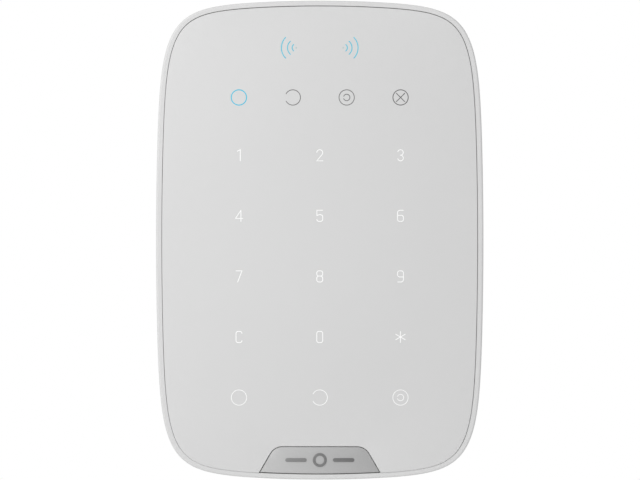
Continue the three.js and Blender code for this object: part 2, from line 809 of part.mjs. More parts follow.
function part(group, name, solid, material, x = 0, y = 0, z = 0) {
  const mesh = new THREE.Mesh(geometryFrom(solid), MATERIALS[material].clone());
  mesh.name = name;
  mesh.position.set(x, y, z);
  group.add(mesh);
  return mesh;
}

part(bracket, "wall_bracket", wallBracket(), "bracket");
part(lock, "lock_screw", lockScrew(), "screw", 0, LUG.bottom - PART_GAP, LOCK_SCREW.z);

part(keypad, "front_panel", frontPanel(), "panel");
part(keypad, "badge_plate", badgePlate(), "badge");
part(keypad, "panel_adhesive", panelAdhesive(), "adhesive");
part(keypad, "diffuser_film", outlinePlate(FILM.inset, FILM.back, FILM.front), "film");
part(keypad, "light_barrier", lightBarrier(), "foam");
part(keypad, "touch_board", touchBoard(), "board");
part(keypad, "rear_housing", rearHousing(), "casing");
part(keypad, "blank_label", chip(26, 14, 0.12), "label", 0, 50, BACK_PLATE.back - BOARD_GAP);

const ledAt = (name, x, y) => part(keypad, name, led(), "led", x, y, BOARD.front + BOARD_GAP);
KEY_NAMES.forEach((names, row) =>
  names.split(" ").forEach((name, column) => {
    ledAt(`key_led_${name}`, keyX(column), keyY(row));
  }),
);
STATUS_NAMES.forEach((name, i) => ledAt(`status_led_${name}`, statusX(i), STATUS_ROW));
ledAt("reader_led_left", -READER_MARK.x, READER_MARK.y);
ledAt("reader_led_right", READER_MARK.x, READER_MARK.y);

part(tamper, "tamper_plunger", tamperPlunger(), "button", 0, TAMPER.y);
part(tamper, "tamper_spring", tamperSpring(), "spring", 0, TAMPER.y);
part(keypad, "tamper_switch", tactileSwitch(), "chip", 0, TAMPER.y);
part(power, "power_button", powerButton(), "button", 0, BUTTON.y);
part(keypad, "power_switch", tactileSwitch(), "chip", 0, BUTTON.y);

// In each bay the outer cell stands nub up and the inner one nub down.
const cellFoot = CONTACT.wallGap + CONTACT.thickness + BATTERY_SPRING.length + 0.5;
for (const [side, name] of [
  [-1, "left"],
  [1, "right"],
]) {
  const [outer, inner] = cellAxes(side);
  part(keypad, `cell_${name}_outer`, cell(), "cell", outer, BAY.bottom + cellFoot, CELL.z);
  const upsideDown = part(keypad, `cell_${name}_inner`, cell(), "cell", inner, 0, CELL.z);
  upsideDown.position.y = BAY.top - cellFoot;
  upsideDown.rotation.z = Math.PI;
  part(keypad, `positive_contact_${name}`, positiveContact(outer), "spring");
  part(keypad, `spring_contact_${name}`, springContact(inner), "spring");
  part(keypad, `bridge_contact_${name}`, bridgeContact(outer, inner), "spring");
}

const behindBoard = (name, solid, material, [x, y]) =>
  part(keypad, name, solid, material, x, y, BOARD.back - BOARD_GAP);
behindBoard("microcontroller", chip(8, 8, 1), "chip", ON_BOARD.microcontroller);
behindBoard("radio_module", radioModule(), "can", ON_BOARD.radio);
behindBoard("reader_chip", chip(5, 5, 0.9), "chip", ON_BOARD.reader);
behindBoard("buzzer", buzzer(), "chip", ON_BOARD.buzzer);
behindBoard("reader_antenna", readerAntenna(), "copper", [0, READER_ANTENNA.y]);
const coil = part(keypad, "radio_antenna", radioAntenna(), "copper", RADIO_ANTENNA.x);
coil.position.set(RADIO_ANTENNA.x, RADIO_ANTENNA.y, RADIO_ANTENNA.z);
coil.rotation.z = -Math.PI / 2;

mirrored(BOARD_SCREWS).forEach(([x, y], i) => {
  const { shank, head, back, seat, front } = BOARD_SCREW;
  const profile = [
    [0, back],
    [shank * 0.5, back],
    [shank, back + 0.8],
    [shank, seat],
    [head, seat],
    [head, front - 0.2],
    [head - 0.3, front],
    [0, front],
  ];
  part(keypad, `board_screw_${i + 1}`, turnedAlongZ(profile, 16), "screw", x, y);
});

export default object;
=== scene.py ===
import json
import math

import bmesh
import bpy
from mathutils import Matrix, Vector

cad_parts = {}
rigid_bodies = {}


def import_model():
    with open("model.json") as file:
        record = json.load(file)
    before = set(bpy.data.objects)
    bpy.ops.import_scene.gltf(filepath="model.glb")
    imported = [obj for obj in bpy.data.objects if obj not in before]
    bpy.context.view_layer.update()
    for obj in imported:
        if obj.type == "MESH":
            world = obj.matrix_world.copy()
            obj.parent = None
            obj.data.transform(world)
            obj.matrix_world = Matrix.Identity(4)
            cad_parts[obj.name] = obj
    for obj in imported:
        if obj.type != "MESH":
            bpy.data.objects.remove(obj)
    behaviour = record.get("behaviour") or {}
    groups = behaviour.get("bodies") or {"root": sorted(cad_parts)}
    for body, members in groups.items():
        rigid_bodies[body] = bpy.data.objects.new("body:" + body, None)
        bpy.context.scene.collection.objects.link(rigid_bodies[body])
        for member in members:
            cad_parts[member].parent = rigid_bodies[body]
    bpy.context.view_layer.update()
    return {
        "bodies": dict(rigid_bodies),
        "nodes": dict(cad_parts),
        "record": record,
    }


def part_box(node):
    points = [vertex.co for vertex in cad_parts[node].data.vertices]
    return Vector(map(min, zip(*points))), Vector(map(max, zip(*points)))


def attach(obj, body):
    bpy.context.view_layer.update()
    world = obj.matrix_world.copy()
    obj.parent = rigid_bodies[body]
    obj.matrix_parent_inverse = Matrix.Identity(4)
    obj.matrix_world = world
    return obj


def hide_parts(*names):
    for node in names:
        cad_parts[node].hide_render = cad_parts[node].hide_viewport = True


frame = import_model()

MM = 0.001
NODES = frame["nodes"]


# Places. Flat shapes are (x, up) in millimetres, and "out" is the distance from the wall.


def box_mm(node):
    """A CAD node's box as (x0, x1, up0, up1, out0, out1) in millimetres."""
    low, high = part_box(node)
    return tuple(v / MM for v in (low.x, high.x, low.z, high.z, -high.y, -low.y))


def centre_of(node):
    x0, x1, up0, up1 = box_mm(node)[:4]
    return (x0 + x1) / 2, (up0 + up1) / 2


def to_frame(x, up, out):
    return (x * MM, -out * MM, up * MM)


CASING, PANEL, BADGE = box_mm("rear_housing"), box_mm("front_panel"), box_mm("badge_plate")
BRACKET, SCREW = box_mm("wall_bracket"), box_mm("lock_screw")

HALF_WIDTH = CASING[1]
HALF_HEIGHT = CASING[3]
SIDE_BOW = 2.45
END_BOW = 3.7
SQUARENESS = 7.8
SIDE_POINTS = 32
SIDE_DRAW = 1.05  # an outline drawn in by 1 moves this far at the sides
END_DRAW = 0.95  # and this far at the top and bottom

RIM_INSET = 1.86  # the inner edge of the rim round the panel
PANEL_INSET = 2.0
PANEL_SEAT = (0.0, -0.1)  # the panel is stuck in a shade below true
WALL_INSET = 3.3  # the inside face of the casing's wall
PANEL_FRONT = PANEL[5] - 0.03
MARK_FRONT = PANEL[5] - 0.008
LIFT = 6.0  # how far the keypad rises to come off its bracket
BACK_PLATE = (3.0, 6.0)  # a cutter this deep goes clean through the casing's back plate


def half_turned(points):
    return [(-x, -y) for x, y in points]


def outline(inset):
    """The keypad's outline drawn in by inset, anticlockwise from the right."""
    corner = 2 ** (-1 / SQUARENESS)
    side = []
    for i in range(SIDE_POINTS):
        v = corner * math.sin(math.pi / 2 * i / SIDE_POINTS)
        side.append(((1 - v**SQUARENESS) ** (1 / SQUARENESS), v))
    first = side + [(corner, corner)] + [(v, u) for u, v in reversed(side[1:])]
    second = [(-v, u) for u, v in first]
    unit = first + second + half_turned(first) + half_turned(second)
    points = [
        (u * (HALF_WIDTH - SIDE_BOW * v * v), v * (HALF_HEIGHT - END_BOW * u * u))
        for u, v in unit
    ]
    return [
        (x + (moved_x - x) * SIDE_DRAW, y + (moved_y - y) * END_DRAW)
        for (x, y), (moved_x, moved_y) in zip(points, offset(points, -inset))
    ]


def offset(points, distance):
    """A closed anticlockwise outline moved outwards by distance, with mitred corners."""
    moved = []
    count = len(points)
    for i, here in enumerate(points):
        before = Vector(here) - Vector(points[i - 1])
        after = Vector(points[(i + 1) % count]) - Vector(here)
        before.normalize()
        after.normalize()
        first = Vector((before.y, -before.x))
        second = Vector((after.y, -after.x))
        mitre = (first + second) / max(0.3, 1 + first.dot(second))
        moved.append((here[0] + mitre.x * distance, here[1] + mitre.y * distance))
    return moved


def arc(cx, cy, radius, start, end, steps=12):
    """Points on an arc, with its angles in degrees."""
    angles = [math.radians(start + (end - start) * i / steps) for i in range(steps + 1)]
    return [(cx + radius * math.cos(angle), cy + radius * math.sin(angle)) for angle in angles]


def circle(cx, cy, radius, points):
    return arc(cx, cy, radius, 0, 360 - 360 / points, points - 1)


def quarter(steps):
    """How far a rounded edge has still to go, across and along, at each of its steps."""
    angles = [math.pi / 2 * i / steps for i in range(steps + 1)]
    return [(1 - math.sin(angle), 1 - math.cos(angle)) for angle in angles]


def stroke(path, width, cap_steps=6):
    """The outline of a line of the given width with round ends, anticlockwise."""
    half = width / 2
    points = [Vector(p) for p in path]
    left, right = [], []
    for i, here in enumerate(points):
        before = (here - points[i - 1]).normalized() if i else None
        after = (points[i + 1] - here).normalized() if i + 1 < len(points) else None
        first = before or after
        second = after or before
        n1 = Vector((-first.y, first.x))
        n2 = Vector((-second.y, second.x))
        mitre = (n1 + n2) / max(0.5, 1 + n1.dot(n2)) * half
        left.append(here + mitre)
        right.append(here - mitre)
    end = (points[-1] - points[-2]).normalized()
    begin = (points[0] - points[1]).normalized()

    def cap(centre, direction):
        heading = math.degrees(math.atan2(direction.y, direction.x))
        return arc(centre.x, centre.y, half, heading - 90, heading + 90, cap_steps)

    there = [tuple(p) for p in right[1:-1]]
    back = [tuple(p) for p in reversed(left[1:-1])]
    return there + cap(points[-1], end) + back + cap(points[0], begin)


def ring(cx, cy, radius, width, gap=0.0, steps=48):
    """A ring as closed strokes. A gap, in degrees to each side of the left, leaves it open."""
    if gap:
        return [stroke(arc(cx, cy, radius, gap - 180, 180 - gap, steps), width)]
    halves = [arc(cx, cy, radius, start, start + 180, steps // 2) for start in (0, 180)]
    return [stroke(half, width, 2) for half in halves]


# Meshes


SMOOTH_ANGLE = 35.0  # edges that turn by more than this many degrees stay sharp
ROUND_ANGLE = 50.0  # and on pieces with stepped rounded edges
WIRE_ANGLE = 65.0  # and on coils, whose wire has few sides
WIRE_SLOTS = ("spring", "copper")


def added(name, data):
    made = bpy.data.objects.new(name, data)
    bpy.context.scene.collection.objects.link(made)
    return made


def mesh_object(name, bm):
    """A new object with this mesh, which it takes over."""
    bmesh.ops.recalc_face_normals(bm, faces=bm.faces)
    mesh = bpy.data.meshes.new(name)
    bm.to_mesh(mesh)
    bm.free()
    return added(name, mesh)


def smooth(mesh, angle):
    for polygon in mesh.polygons:
        polygon.use_smooth = True
    mesh.set_sharp_from_angle(angle=math.radians(angle))


def finish_mesh(name, bm, material, body, smooth_angle=SMOOTH_ANGLE):
    """Turns a mesh into a piece with a material, riding on a body. It takes the mesh over."""
    bmesh.ops.remove_doubles(bm, verts=bm.verts, dist=1e-7)
    piece = mesh_object(name, bm)
    smooth(piece.data, smooth_angle)
    piece.data.materials.append(material)
    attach(piece, body)
    return piece


def covers(node, slot, *pieces):
    """Hides the CAD node that pieces stand in for. The slot is not used."""
    for piece in pieces:
        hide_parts(node)


def welded(node):
    """A CAD node's shape as a fresh mesh, with its split facets joined up."""
    bm = bmesh.new()
    bm.from_mesh(NODES[node].data)
    bmesh.ops.remove_doubles(bm, verts=bm.verts, dist=1e-6)
    flat = math.radians(0.5)
    bmesh.ops.dissolve_limit(bm, angle_limit=flat, verts=bm.verts, edges=bm.edges)
    return bm


def join_loops(bm, lower, upper):
    count = len(lower)
    for i in range(count):
        j = (i + 1) % count
        bm.faces.new((lower[i], lower[j], upper[j], upper[i]))


def add_plate(
    bm, outer, holes, back, front, radius=0.0, steps=3, place=to_frame, round_back=False
):
    """A plate with holes between two heights, its front edges (and back ones) rounded over."""
    levels = []
    if radius and round_back:
        levels = [(radius * still, back + radius * gone) for still, gone in quarter(steps)[:-1]]
    levels.append((0.0, back + (radius if round_back else 0.0)))
    if radius:
        levels += [(radius * gone, front - radius * still) for still, gone in quarter(steps)]
    else:
        levels.append((0.0, front))
    caps = {0: [], len(levels) - 1: []}
    for points, side in [(outer, -1.0)] + [(hole, 1.0) for hole in holes]:
        loops = []
        for shrink, height in levels:
            moved = offset(points, side * shrink) if shrink else points
            loops.append([bm.verts.new(place(a, b, height)) for a, b in moved])
        for lower, upper in zip(loops, loops[1:]):
            join_loops(bm, lower, upper)
        for level in caps:
            loop = loops[level]
            caps[level] += [bm.edges.get(pair) for pair in zip(loop, loop[1:] + loop[:1])]
    for edges in caps.values():
        bmesh.ops.triangle_fill(bm, use_beauty=True, use_dissolve=False, edges=edges)
    return bm


def loft(bm, section, closed):
    """Outlines at each (inset, out) joined into a skin: a closed section, or a capped stack."""
    loops = []
    for inset, out in section:
        loops.append([bm.verts.new(to_frame(x, up, out)) for x, up in outline(inset)])
    following = loops[1:] + loops[:1] if closed else loops[1:]
    for lower, upper in zip(loops, following):
        join_loops(bm, lower, upper)
    if not closed:
        bm.faces.new(loops[0])
        bm.faces.new(loops[-1])
    return bm


def add_box(bm, x0, x1, up0, up1, out0, out1):
    corners = [(x, up, out) for x in (x0, x1) for up in (up0, up1) for out in (out0, out1)]
    verts = [bm.verts.new(to_frame(*c)) for c in corners]
    sides = ((0, 1, 3, 2), (4, 6, 7, 5), (0, 4, 5, 1), (2, 3, 7, 6), (0, 2, 6, 4), (1, 5, 7, 3))
    for side in sides:
        bm.faces.new([verts[i] for i in side])
    return bm


def revolve(profile, place, segments=48):
    """A solid turned from (radius, along) points. place gives the spot at (a, b, along)."""
    bm = bmesh.new()
    loops = []
    for radius, along in profile:
        if radius < 1e-9:
            loops.append([bm.verts.new(place(0.0, 0.0, along))])
            continue
        rim = circle(0.0, 0.0, radius, segments)
        loops.append([bm.verts.new(place(a, b, along)) for a, b in rim])
    for lower, upper in zip(loops, loops[1:]):
        for i in range(segments):
            j = (i + 1) % segments
            around = [(lower, i), (lower, j), (upper, j), (upper, i)]
            corners = list(dict.fromkeys(loop[k % len(loop)] for loop, k in around))
            if len(corners) > 2:
                bm.faces.new(corners)
    return bm


CLEAN = 4e-6  # edges shorter than this many metres are collapsed after a boolean


def boolean(piece, other_bm, operation):
    """Joins, cuts or trims a piece with another solid and applies the result."""
    cutter = mesh_object("cutter", other_bm)
    modifier = piece.modifiers.new("cut", "BOOLEAN")
    modifier.operation = operation
    modifier.solver = "EXACT"
    modifier.object = cutter
    bpy.context.view_layer.update()
    graph = bpy.context.evaluated_depsgraph_get()
    result = bpy.data.meshes.new_from_object(piece.evaluated_get(graph), depsgraph=graph)
    piece.modifiers.clear()
    piece.data = result
    bpy.data.objects.remove(cutter)
    bm = bmesh.new()
    bm.from_mesh(result)
    bmesh.ops.remove_doubles(bm, verts=bm.verts, dist=CLEAN)
    bmesh.ops.dissolve_degenerate(bm, edges=bm.edges, dist=CLEAN)
    bmesh.ops.holes_fill(bm, edges=[e for e in bm.edges if e.is_boundary])
    bm.to_mesh(result)
    bm.free()
    smooth(result, SMOOTH_ANGLE)


def flatten_shading(piece):
    """Lets a piece's large flat faces lead the shading of the corners they share."""
    piece.modifiers.new("shading", "WEIGHTED_NORMAL").keep_sharp = True


def soften(piece, width):
    """Rounds a piece's sharp edges with a bevel modifier."""
    bevel = piece.modifiers.new("edges", "BEVEL")
    bevel.width = width * MM
    bevel.segments = 2
    bevel.limit_method = "ANGLE"
    bevel.angle_limit = math.radians(40)
    bevel.harden_normals = False


# Materials


class Shader:
    """A small helper that builds a node tree around one Principled shader."""

    def __init__(self, name, roughness=0.5, metallic=0.0):
        self.material = bpy.data.materials.new(name)
        self.material.use_nodes = True
        self.tree = self.material.node_tree
        self.shader = self.tree.nodes["Principled BSDF"]
        self.set(Roughness=roughness, Metallic=metallic)
        self.coordinates = self.tree.nodes.new("ShaderNodeTexCoord").outputs["Object"]

    def node(self, kind, **inputs):
        made = self.tree.nodes.new(kind)
        for name, value in inputs.items():
            self.put(made.inputs[name.replace("_", " ")], value)
        return made

    def put(self, socket, value):
        """Links a socket into an input, or sets the input to a plain value."""
        if isinstance(value, bpy.types.NodeSocket):
            self.tree.links.new(value, socket)
        else:
            socket.default_value = value

    def mapped(self, *scale):
        made = self.node("ShaderNodeMapping", Vector=self.coordinates, Scale=scale)
        return made.outputs["Vector"]

    def noise(self, scale, detail=2.0, roughness=0.5, vector=None):
        inputs = {"Scale": scale, "Detail": detail, "Roughness": roughness}
        place = vector or self.coordinates
        return self.node("ShaderNodeTexNoise", Vector=place, **inputs).outputs["Fac"]

    def cells(self, scale, vector=None):
        place = vector or self.coordinates
        return self.node("ShaderNodeTexVoronoi", Vector=place, Scale=scale).outputs["Distance"]

    def ramp(self, factor, stops):
        made = self.tree.nodes.new("ShaderNodeValToRGB")
        elements = made.color_ramp.elements
        while len(elements) < len(stops):
            elements.new(0.5)
        for element, (position, color) in zip(elements, stops):
            element.position = position
            element.color = color if len(color) == 4 else (*color, 1.0)
        self.put(made.inputs["Fac"], factor)
        return made.outputs["Color"]

    def map_range(self, value, start, stop, low=0.0, high=1.0):
        inputs = {"From_Min": start, "From_Max": stop, "To_Min": low, "To_Max": high}
        return self.node("ShaderNodeMapRange", Value=value, **inputs).outputs["Result"]

    def spread(self, factor, low, high):
        """Maps the middle of a noise's range to between low and high."""
        return self.map_range(factor, 0.3, 0.7, low, high)

    def along(self, axis, start, stop):
        """0 to 1 along an axis, between two places in millimetres."""
        split = self.node("ShaderNodeSeparateXYZ", Vector=self.coordinates)
        return self.map_range(split.outputs[axis], start * MM, stop * MM)

    def mix(self, factor, first, second, blend="MIX"):
        made = self.node("ShaderNodeMix")
        made.data_type = "RGBA"
        made.blend_type = blend
        for name, value in (("Factor", factor), ("A", first), ("B", second)):
            self.put(made.inputs[name], value)
        return made.outputs["Result"]

    def bump(self, height, strength, distance_mm):
        inputs = {"Strength": strength, "Distance": distance_mm * MM, "Height": height}
        return self.node("ShaderNodeBump", **inputs).outputs["Normal"]

    def set(self, **inputs):
        for name, value in inputs.items():
            self.put(self.shader.inputs[name.replace("_", " ")], value)


def grey(value):
    return (value, value, value, 1.0)


def tint(color, factor):
    return tuple(min(1.0, c * factor) for c in color[:3]) + (1.0,)


def moulded_plastic(name, color, roughness, grain_mm, bump):
    """Spark-eroded plastic: a fine even grain, faint flow marks and a slightly uneven sheen."""
    s = Shader(name, roughness)
    grain = s.noise(1 / (grain_mm * MM), 3.0, 0.6)
    flow = s.noise(28)
    shade = s.ramp(flow, [(0.35, tint(color, 0.985)), (0.65, tint(color, 1.012))])
    s.set(
        Base_Color=shade,
        Roughness=s.spread(grain, roughness - 0.05, roughness + 0.06),
        Normal=s.bump(grain, bump, 0.02),
    )
    return s.material


def metal(name, color, roughness, stretch=(1, 1, 1)):
    """Bare metal with fine uneven drawing lines, stretched along an axis if asked."""
    s = Shader(name, roughness, 1.0)
    lines = s.noise(2500, 4.0, 0.7, s.mapped(*stretch))
    s.set(
        Base_Color=s.ramp(lines, [(0.3, tint(color, 0.85)), (0.7, tint(color, 1.08))]),
        Roughness=s.spread(lines, roughness - 0.08, roughness + 0.1),
        Normal=s.bump(lines, 0.15, 0.01),
    )
    return s.material


def painted_glow_mark(name, color, painted_glow):
    """Translucent ink with a painted glow, as from a light guide behind it, a little brighter
    where the painted light pools.
    """
    s = Shader(name, 0.35)
    painted_light_pool = s.noise(900)
    shade = s.ramp(painted_light_pool, [(0.3, tint(color, 0.97)), (0.7, tint(color, 1.03))])
    # painted light: the ink's colour is also emitted, as a painted glow of the given strength
    s.set(Base_Color=shade, Emission_Color=shade, Emission_Strength=painted_glow)
    return s.material


def metallic_paint(name, left, right, metallic):
    """Metallic paint: fine flakes under a satin coat, with painted light at the left easing to
    painted shade at the right.
    """
    s = Shader(name, 0.42, metallic)
    flakes = s.noise(5200, 3.0, 0.75)
    across = s.along("X", BADGE[0], BADGE[1])
    # painted light and shade: the base colour runs from the lighter left tone to the darker
    # right one
    painted_light_sweep = s.ramp(across, [(0.0, grey(left)), (1.0, grey(right))])
    speckle = s.ramp(flakes, [(0.35, grey(0.88)), (0.65, grey(1.0))])
    s.set(
        Base_Color=s.mix(1.0, painted_light_sweep, speckle, "MULTIPLY"),
        Roughness=s.spread(flakes, 0.36, 0.5),
        Normal=s.bump(flakes, 0.1, 0.01),
    )
    return s.material


def panel_plastic():
    """Satin plastic of an almost even tone, with a very fine grain."""
    s = Shader("panel_satin", 0.42)
    grain = s.noise(4200, 3.0, 0.6)
    cloud = s.noise(14)
    s.set(
        Base_Color=s.ramp(cloud, [(0.3, grey(0.627)), (0.7, grey(0.633))]),
        Roughness=s.spread(grain, 0.38, 0.48),
        Normal=s.bump(grain, 0.05, 0.01),
    )
    return s.material


CASING_PLASTIC = moulded_plastic("casing_plastic", grey(0.64), 0.5, 0.22, 0.12)
PANEL_PLASTIC = panel_plastic()
BRACKET_PLASTIC = moulded_plastic("bracket_plastic", (0.72, 0.72, 0.705, 1), 0.55, 0.3, 0.2)
DARK_PLASTIC = moulded_plastic("dark_plastic", grey(0.04), 0.5, 0.2, 0.2)
# The badge and the emblem are painted lighter at the left and darker at the right: painted light
# and shade.
BADGE_PAINT = metallic_paint("badge_paint", 0.61, 0.45, 0.5)
EMBLEM_PAINT = metallic_paint("emblem_paint", 0.34, 0.14, 0.6)
# The white and cyan marks carry a painted glow; the other marks do not glow.
WHITE_MARK = painted_glow_mark("white_mark", grey(0.9), 0.05)
CYAN_MARK = painted_glow_mark("cyan_mark", (0.02, 0.49, 0.68, 1), 0.03)
CYAN_FAINT = painted_glow_mark("cyan_faint", (0.08, 0.52, 0.67, 1), 0.0)
DOT_MARK = painted_glow_mark("dot_mark", (0.46, 0.56, 0.56, 1), 0.0)
GREY_MARK = painted_glow_mark("grey_mark", grey(0.16), 0.0)
DARK_MARK = painted_glow_mark("dark_mark", grey(0.09), 0.0)
CONTACT_METAL = metal("nickel", (0.66, 0.66, 0.67, 1), 0.25)
ZINC = metal("zinc", (0.62, 0.62, 0.63, 1), 0.32, (1, 1, 6))


# Casing and panel


RIM_RADIUS = 0.7  # rounding where the flank turns into the rim
RIM_BEVEL = 0.1  # and where the rim drops to the panel
FOOT_RADIUS = 0.4  # and at the edge that stands by the wall
FLANK_TAPER = 1.5  # the flank leans in this much by the time it reaches the wall
FLANK_SHOULDER = 17.0  # the flank is upright from here forward
LEDGE_INSET, LEDGE_BACK, LEDGE_FRONT = 4.6, 16.6, 18.1  # the seat that the panel is stuck to


def casing_section():
    """The casing wall's section as (inset, out): flank, rim, seat for the panel, inside."""
    back, front = CASING[4], CASING[5]
    foot = back + FOOT_RADIUS

    def flank(out):
        return FLANK_TAPER * (1 - out / FLANK_SHOULDER) ** 2

    section = []
    for still, gone in quarter(4):
        section.append((flank(foot) + FOOT_RADIUS * still, back + FOOT_RADIUS * gone))
    for i in range(1, 9):
        out = foot + (FLANK_SHOULDER - foot) * i / 8
        section.append((flank(out), out))
    for still, gone in quarter(12):
        section.append((RIM_RADIUS * gone, front - RIM_RADIUS * still))
    for still, gone in quarter(4):
        section.append((RIM_INSET - RIM_BEVEL * still, front - RIM_BEVEL * gone))
    section += [(RIM_INSET, LEDGE_FRONT), (LEDGE_INSET, LEDGE_FRONT), (LEDGE_INSET, LEDGE_BACK)]
    section += [(WALL_INSET, LEDGE_BACK - 1), (WALL_INSET, back + 0.3), (WALL_INSET - 0.3, back)]
    return section


CORE_FRONT = 15.95  # from here forward the CAD's own ledge is left out, for the fine one
POCKET_HALF, POCKET_ROOF, POCKET_FRONT = 6.2, -77.3, 8.6  # the lock screw's pocket
HOLE_RADII = {"tamper_plunger": 2.32, "power_button": 3.12}  # their holes in the back plate


def casing():
    """The fine wall joined to the bosses, bays and ribs that the CAD node has inside it."""
    bm = loft(bmesh.new(), casing_section(), True)
    shell = finish_mesh("casing_shell", bm, CASING_PLASTIC, "keypad")
    core = mesh_object("core", welded("rear_housing"))
    beside, beyond = WALL_INSET - 0.3, LEDGE_INSET + 0.4
    section = [(beside, -1.0), (beside, CORE_FRONT), (beyond, CORE_FRONT), (beyond, 30.0)]
    boolean(core, loft(bmesh.new(), section, False), "INTERSECT")
    inside = bmesh.new()
    inside.from_mesh(core.data)
    bpy.data.objects.remove(core)
    boolean(shell, inside, "UNION")
    sides = (-POCKET_HALF, POCKET_HALF)
    openings = add_box(bmesh.new(), *sides, -HALF_HEIGHT - 2, POCKET_ROOF, -1, POCKET_FRONT)
    for node, radius in HOLE_RADII.items():
        add_plate(openings, circle(*centre_of(node), radius, 60), [], *BACK_PLATE)
    boolean(shell, openings, "DIFFERENCE")
    flatten_shading(shell)
    covers("rear_housing", "casing", shell)


BADGE_TOP = -70.86
BADGE_HALF_TOP = 15.7  # half its width along the top, before its corners are rounded
BADGE_LEAN = math.tan(math.radians(30.2))  # its ends lean out this much for each step down
BADGE_FILLET = 5.0
BADGE_FRONT = 19.6
BADGE_MARGIN = -0.35  # the badge lies this far inside its true outline
NOTCH_MARGIN = -0.04  # and the panel's notch this far
BADGE_FOOT = PANEL_INSET + 0.2
EMBLEM_UP = -75.73
EMBLEM_OUTER, EMBLEM_INNER = 2.4, 1.5  # radii of the ring
EMBLEM_BAR_X, EMBLEM_BAR_HALF, EMBLEM_BAR_WIDTH = 8.2, 3.05, 1.3


def badge_sides(margin, edge_inset):
    """The badge's upper outline, right foot to left foot, drawn out by margin."""
    grow = margin * math.hypot(1, BADGE_LEAN)
    top = BADGE_TOP + margin

    def half_at(up):
        return BADGE_HALF_TOP + grow + (BADGE_TOP - up) * BADGE_LEAN

    edge = sorted(p for p in outline(edge_inset) if p[1] < 0 and 0 <= p[0] < 40)
    foot = -80.0
    for _ in range(12):
        half = half_at(foot)
        for (xa, ya), (xb, yb) in zip(edge, edge[1:]):
            if xa <= half <= xb:
                foot = ya + (yb - ya) * (half - xa) / (xb - xa)
                break
    radius = BADGE_FILLET + margin
    turn = 90 - math.degrees(math.atan(BADGE_LEAN))
    reach = radius * math.tan(math.radians(turn) / 2)
    corner = half_at(top)
    right = arc(corner - reach, top - radius, radius, 90 - turn, 90, 16)
    upper = [(half_at(foot), foot)] + right
    return upper + [(-x, y) for x, y in reversed(upper)]


def bottom_edge(inset, half):
    """The part of an outline along the bottom between -half and half, left to right."""
    return sorted(p for p in outline(inset) if p[1] < 0 and abs(p[0]) < half - 0.05)


def front_panel():
    """The panel, with the badge's notch in its lower edge."""
    notch = badge_sides(NOTCH_MARGIN, PANEL_INSET)
    half = notch[0][0]
    rest = [p for p in outline(PANEL_INSET) if not (p[1] < 0 and abs(p[0]) < half + 0.05)]
    lower = [i for i, p in enumerate(rest) if p[1] < 0 and p[0] > 0]
    start = min(lower, key=lambda i: rest[i][0])
    contour = rest[start:] + rest[:start] + [(-x, y) for x, y in notch]
    seated = shifted(contour, *PANEL_SEAT)
    bm = add_plate(bmesh.new(), seated, [], PANEL[4], PANEL_FRONT, 0.16, 4)
    panel = finish_mesh("front_panel_face", bm, PANEL_PLASTIC, "keypad", ROUND_ANGLE)
    covers("front_panel", "panel", panel)


def badge():
    """The badge plate, and a generic ring between two bars standing on it."""
    sides = badge_sides(BADGE_MARGIN, BADGE_FOOT)
    contour = sides + bottom_edge(BADGE_FOOT, sides[0][0])
    bm = add_plate(bmesh.new(), contour, [], BADGE[4], BADGE_FRONT, 0.12)
    plate = finish_mesh("badge_face", bm, BADGE_PAINT, "keypad", ROUND_ANGLE)
    root = BADGE_FRONT - 0.1
    outer, hole = (circle(0, EMBLEM_UP, radius, 60) for radius in (EMBLEM_OUTER, EMBLEM_INNER))
    bm = add_plate(bmesh.new(), outer, [hole], root, BADGE[5], 0.08, 2)
    for side in (-1, 1):
        middle = side * EMBLEM_BAR_X
        path = [(middle - EMBLEM_BAR_HALF, EMBLEM_UP), (middle + EMBLEM_BAR_HALF, EMBLEM_UP)]
        add_plate(bm, stroke(path, EMBLEM_BAR_WIDTH), [], root, BADGE[5], 0.08, 2)
    emblem = finish_mesh("badge_mark", bm, EMBLEM_PAINT, "keypad", ROUND_ANGLE)
    covers("badge_plate", "badge", plate, emblem)


# Marks


TALL, WIDE = 1.92, 1.02  # half the height and half the width of a digit


def side_path(side, radius, top, bottom):
    """Half of a round-cornered loop, from its top down one side."""
    x = side * (WIDE - radius)
    flank = 90 - 90 * side
    upper = arc(x, top - radius, radius, 90, flank, 6)
    lower = arc(x, bottom + radius, radius, flank, 2 * flank - 90, 6)
    return [(0.0, top), *upper, *lower, (0.0, bottom)]


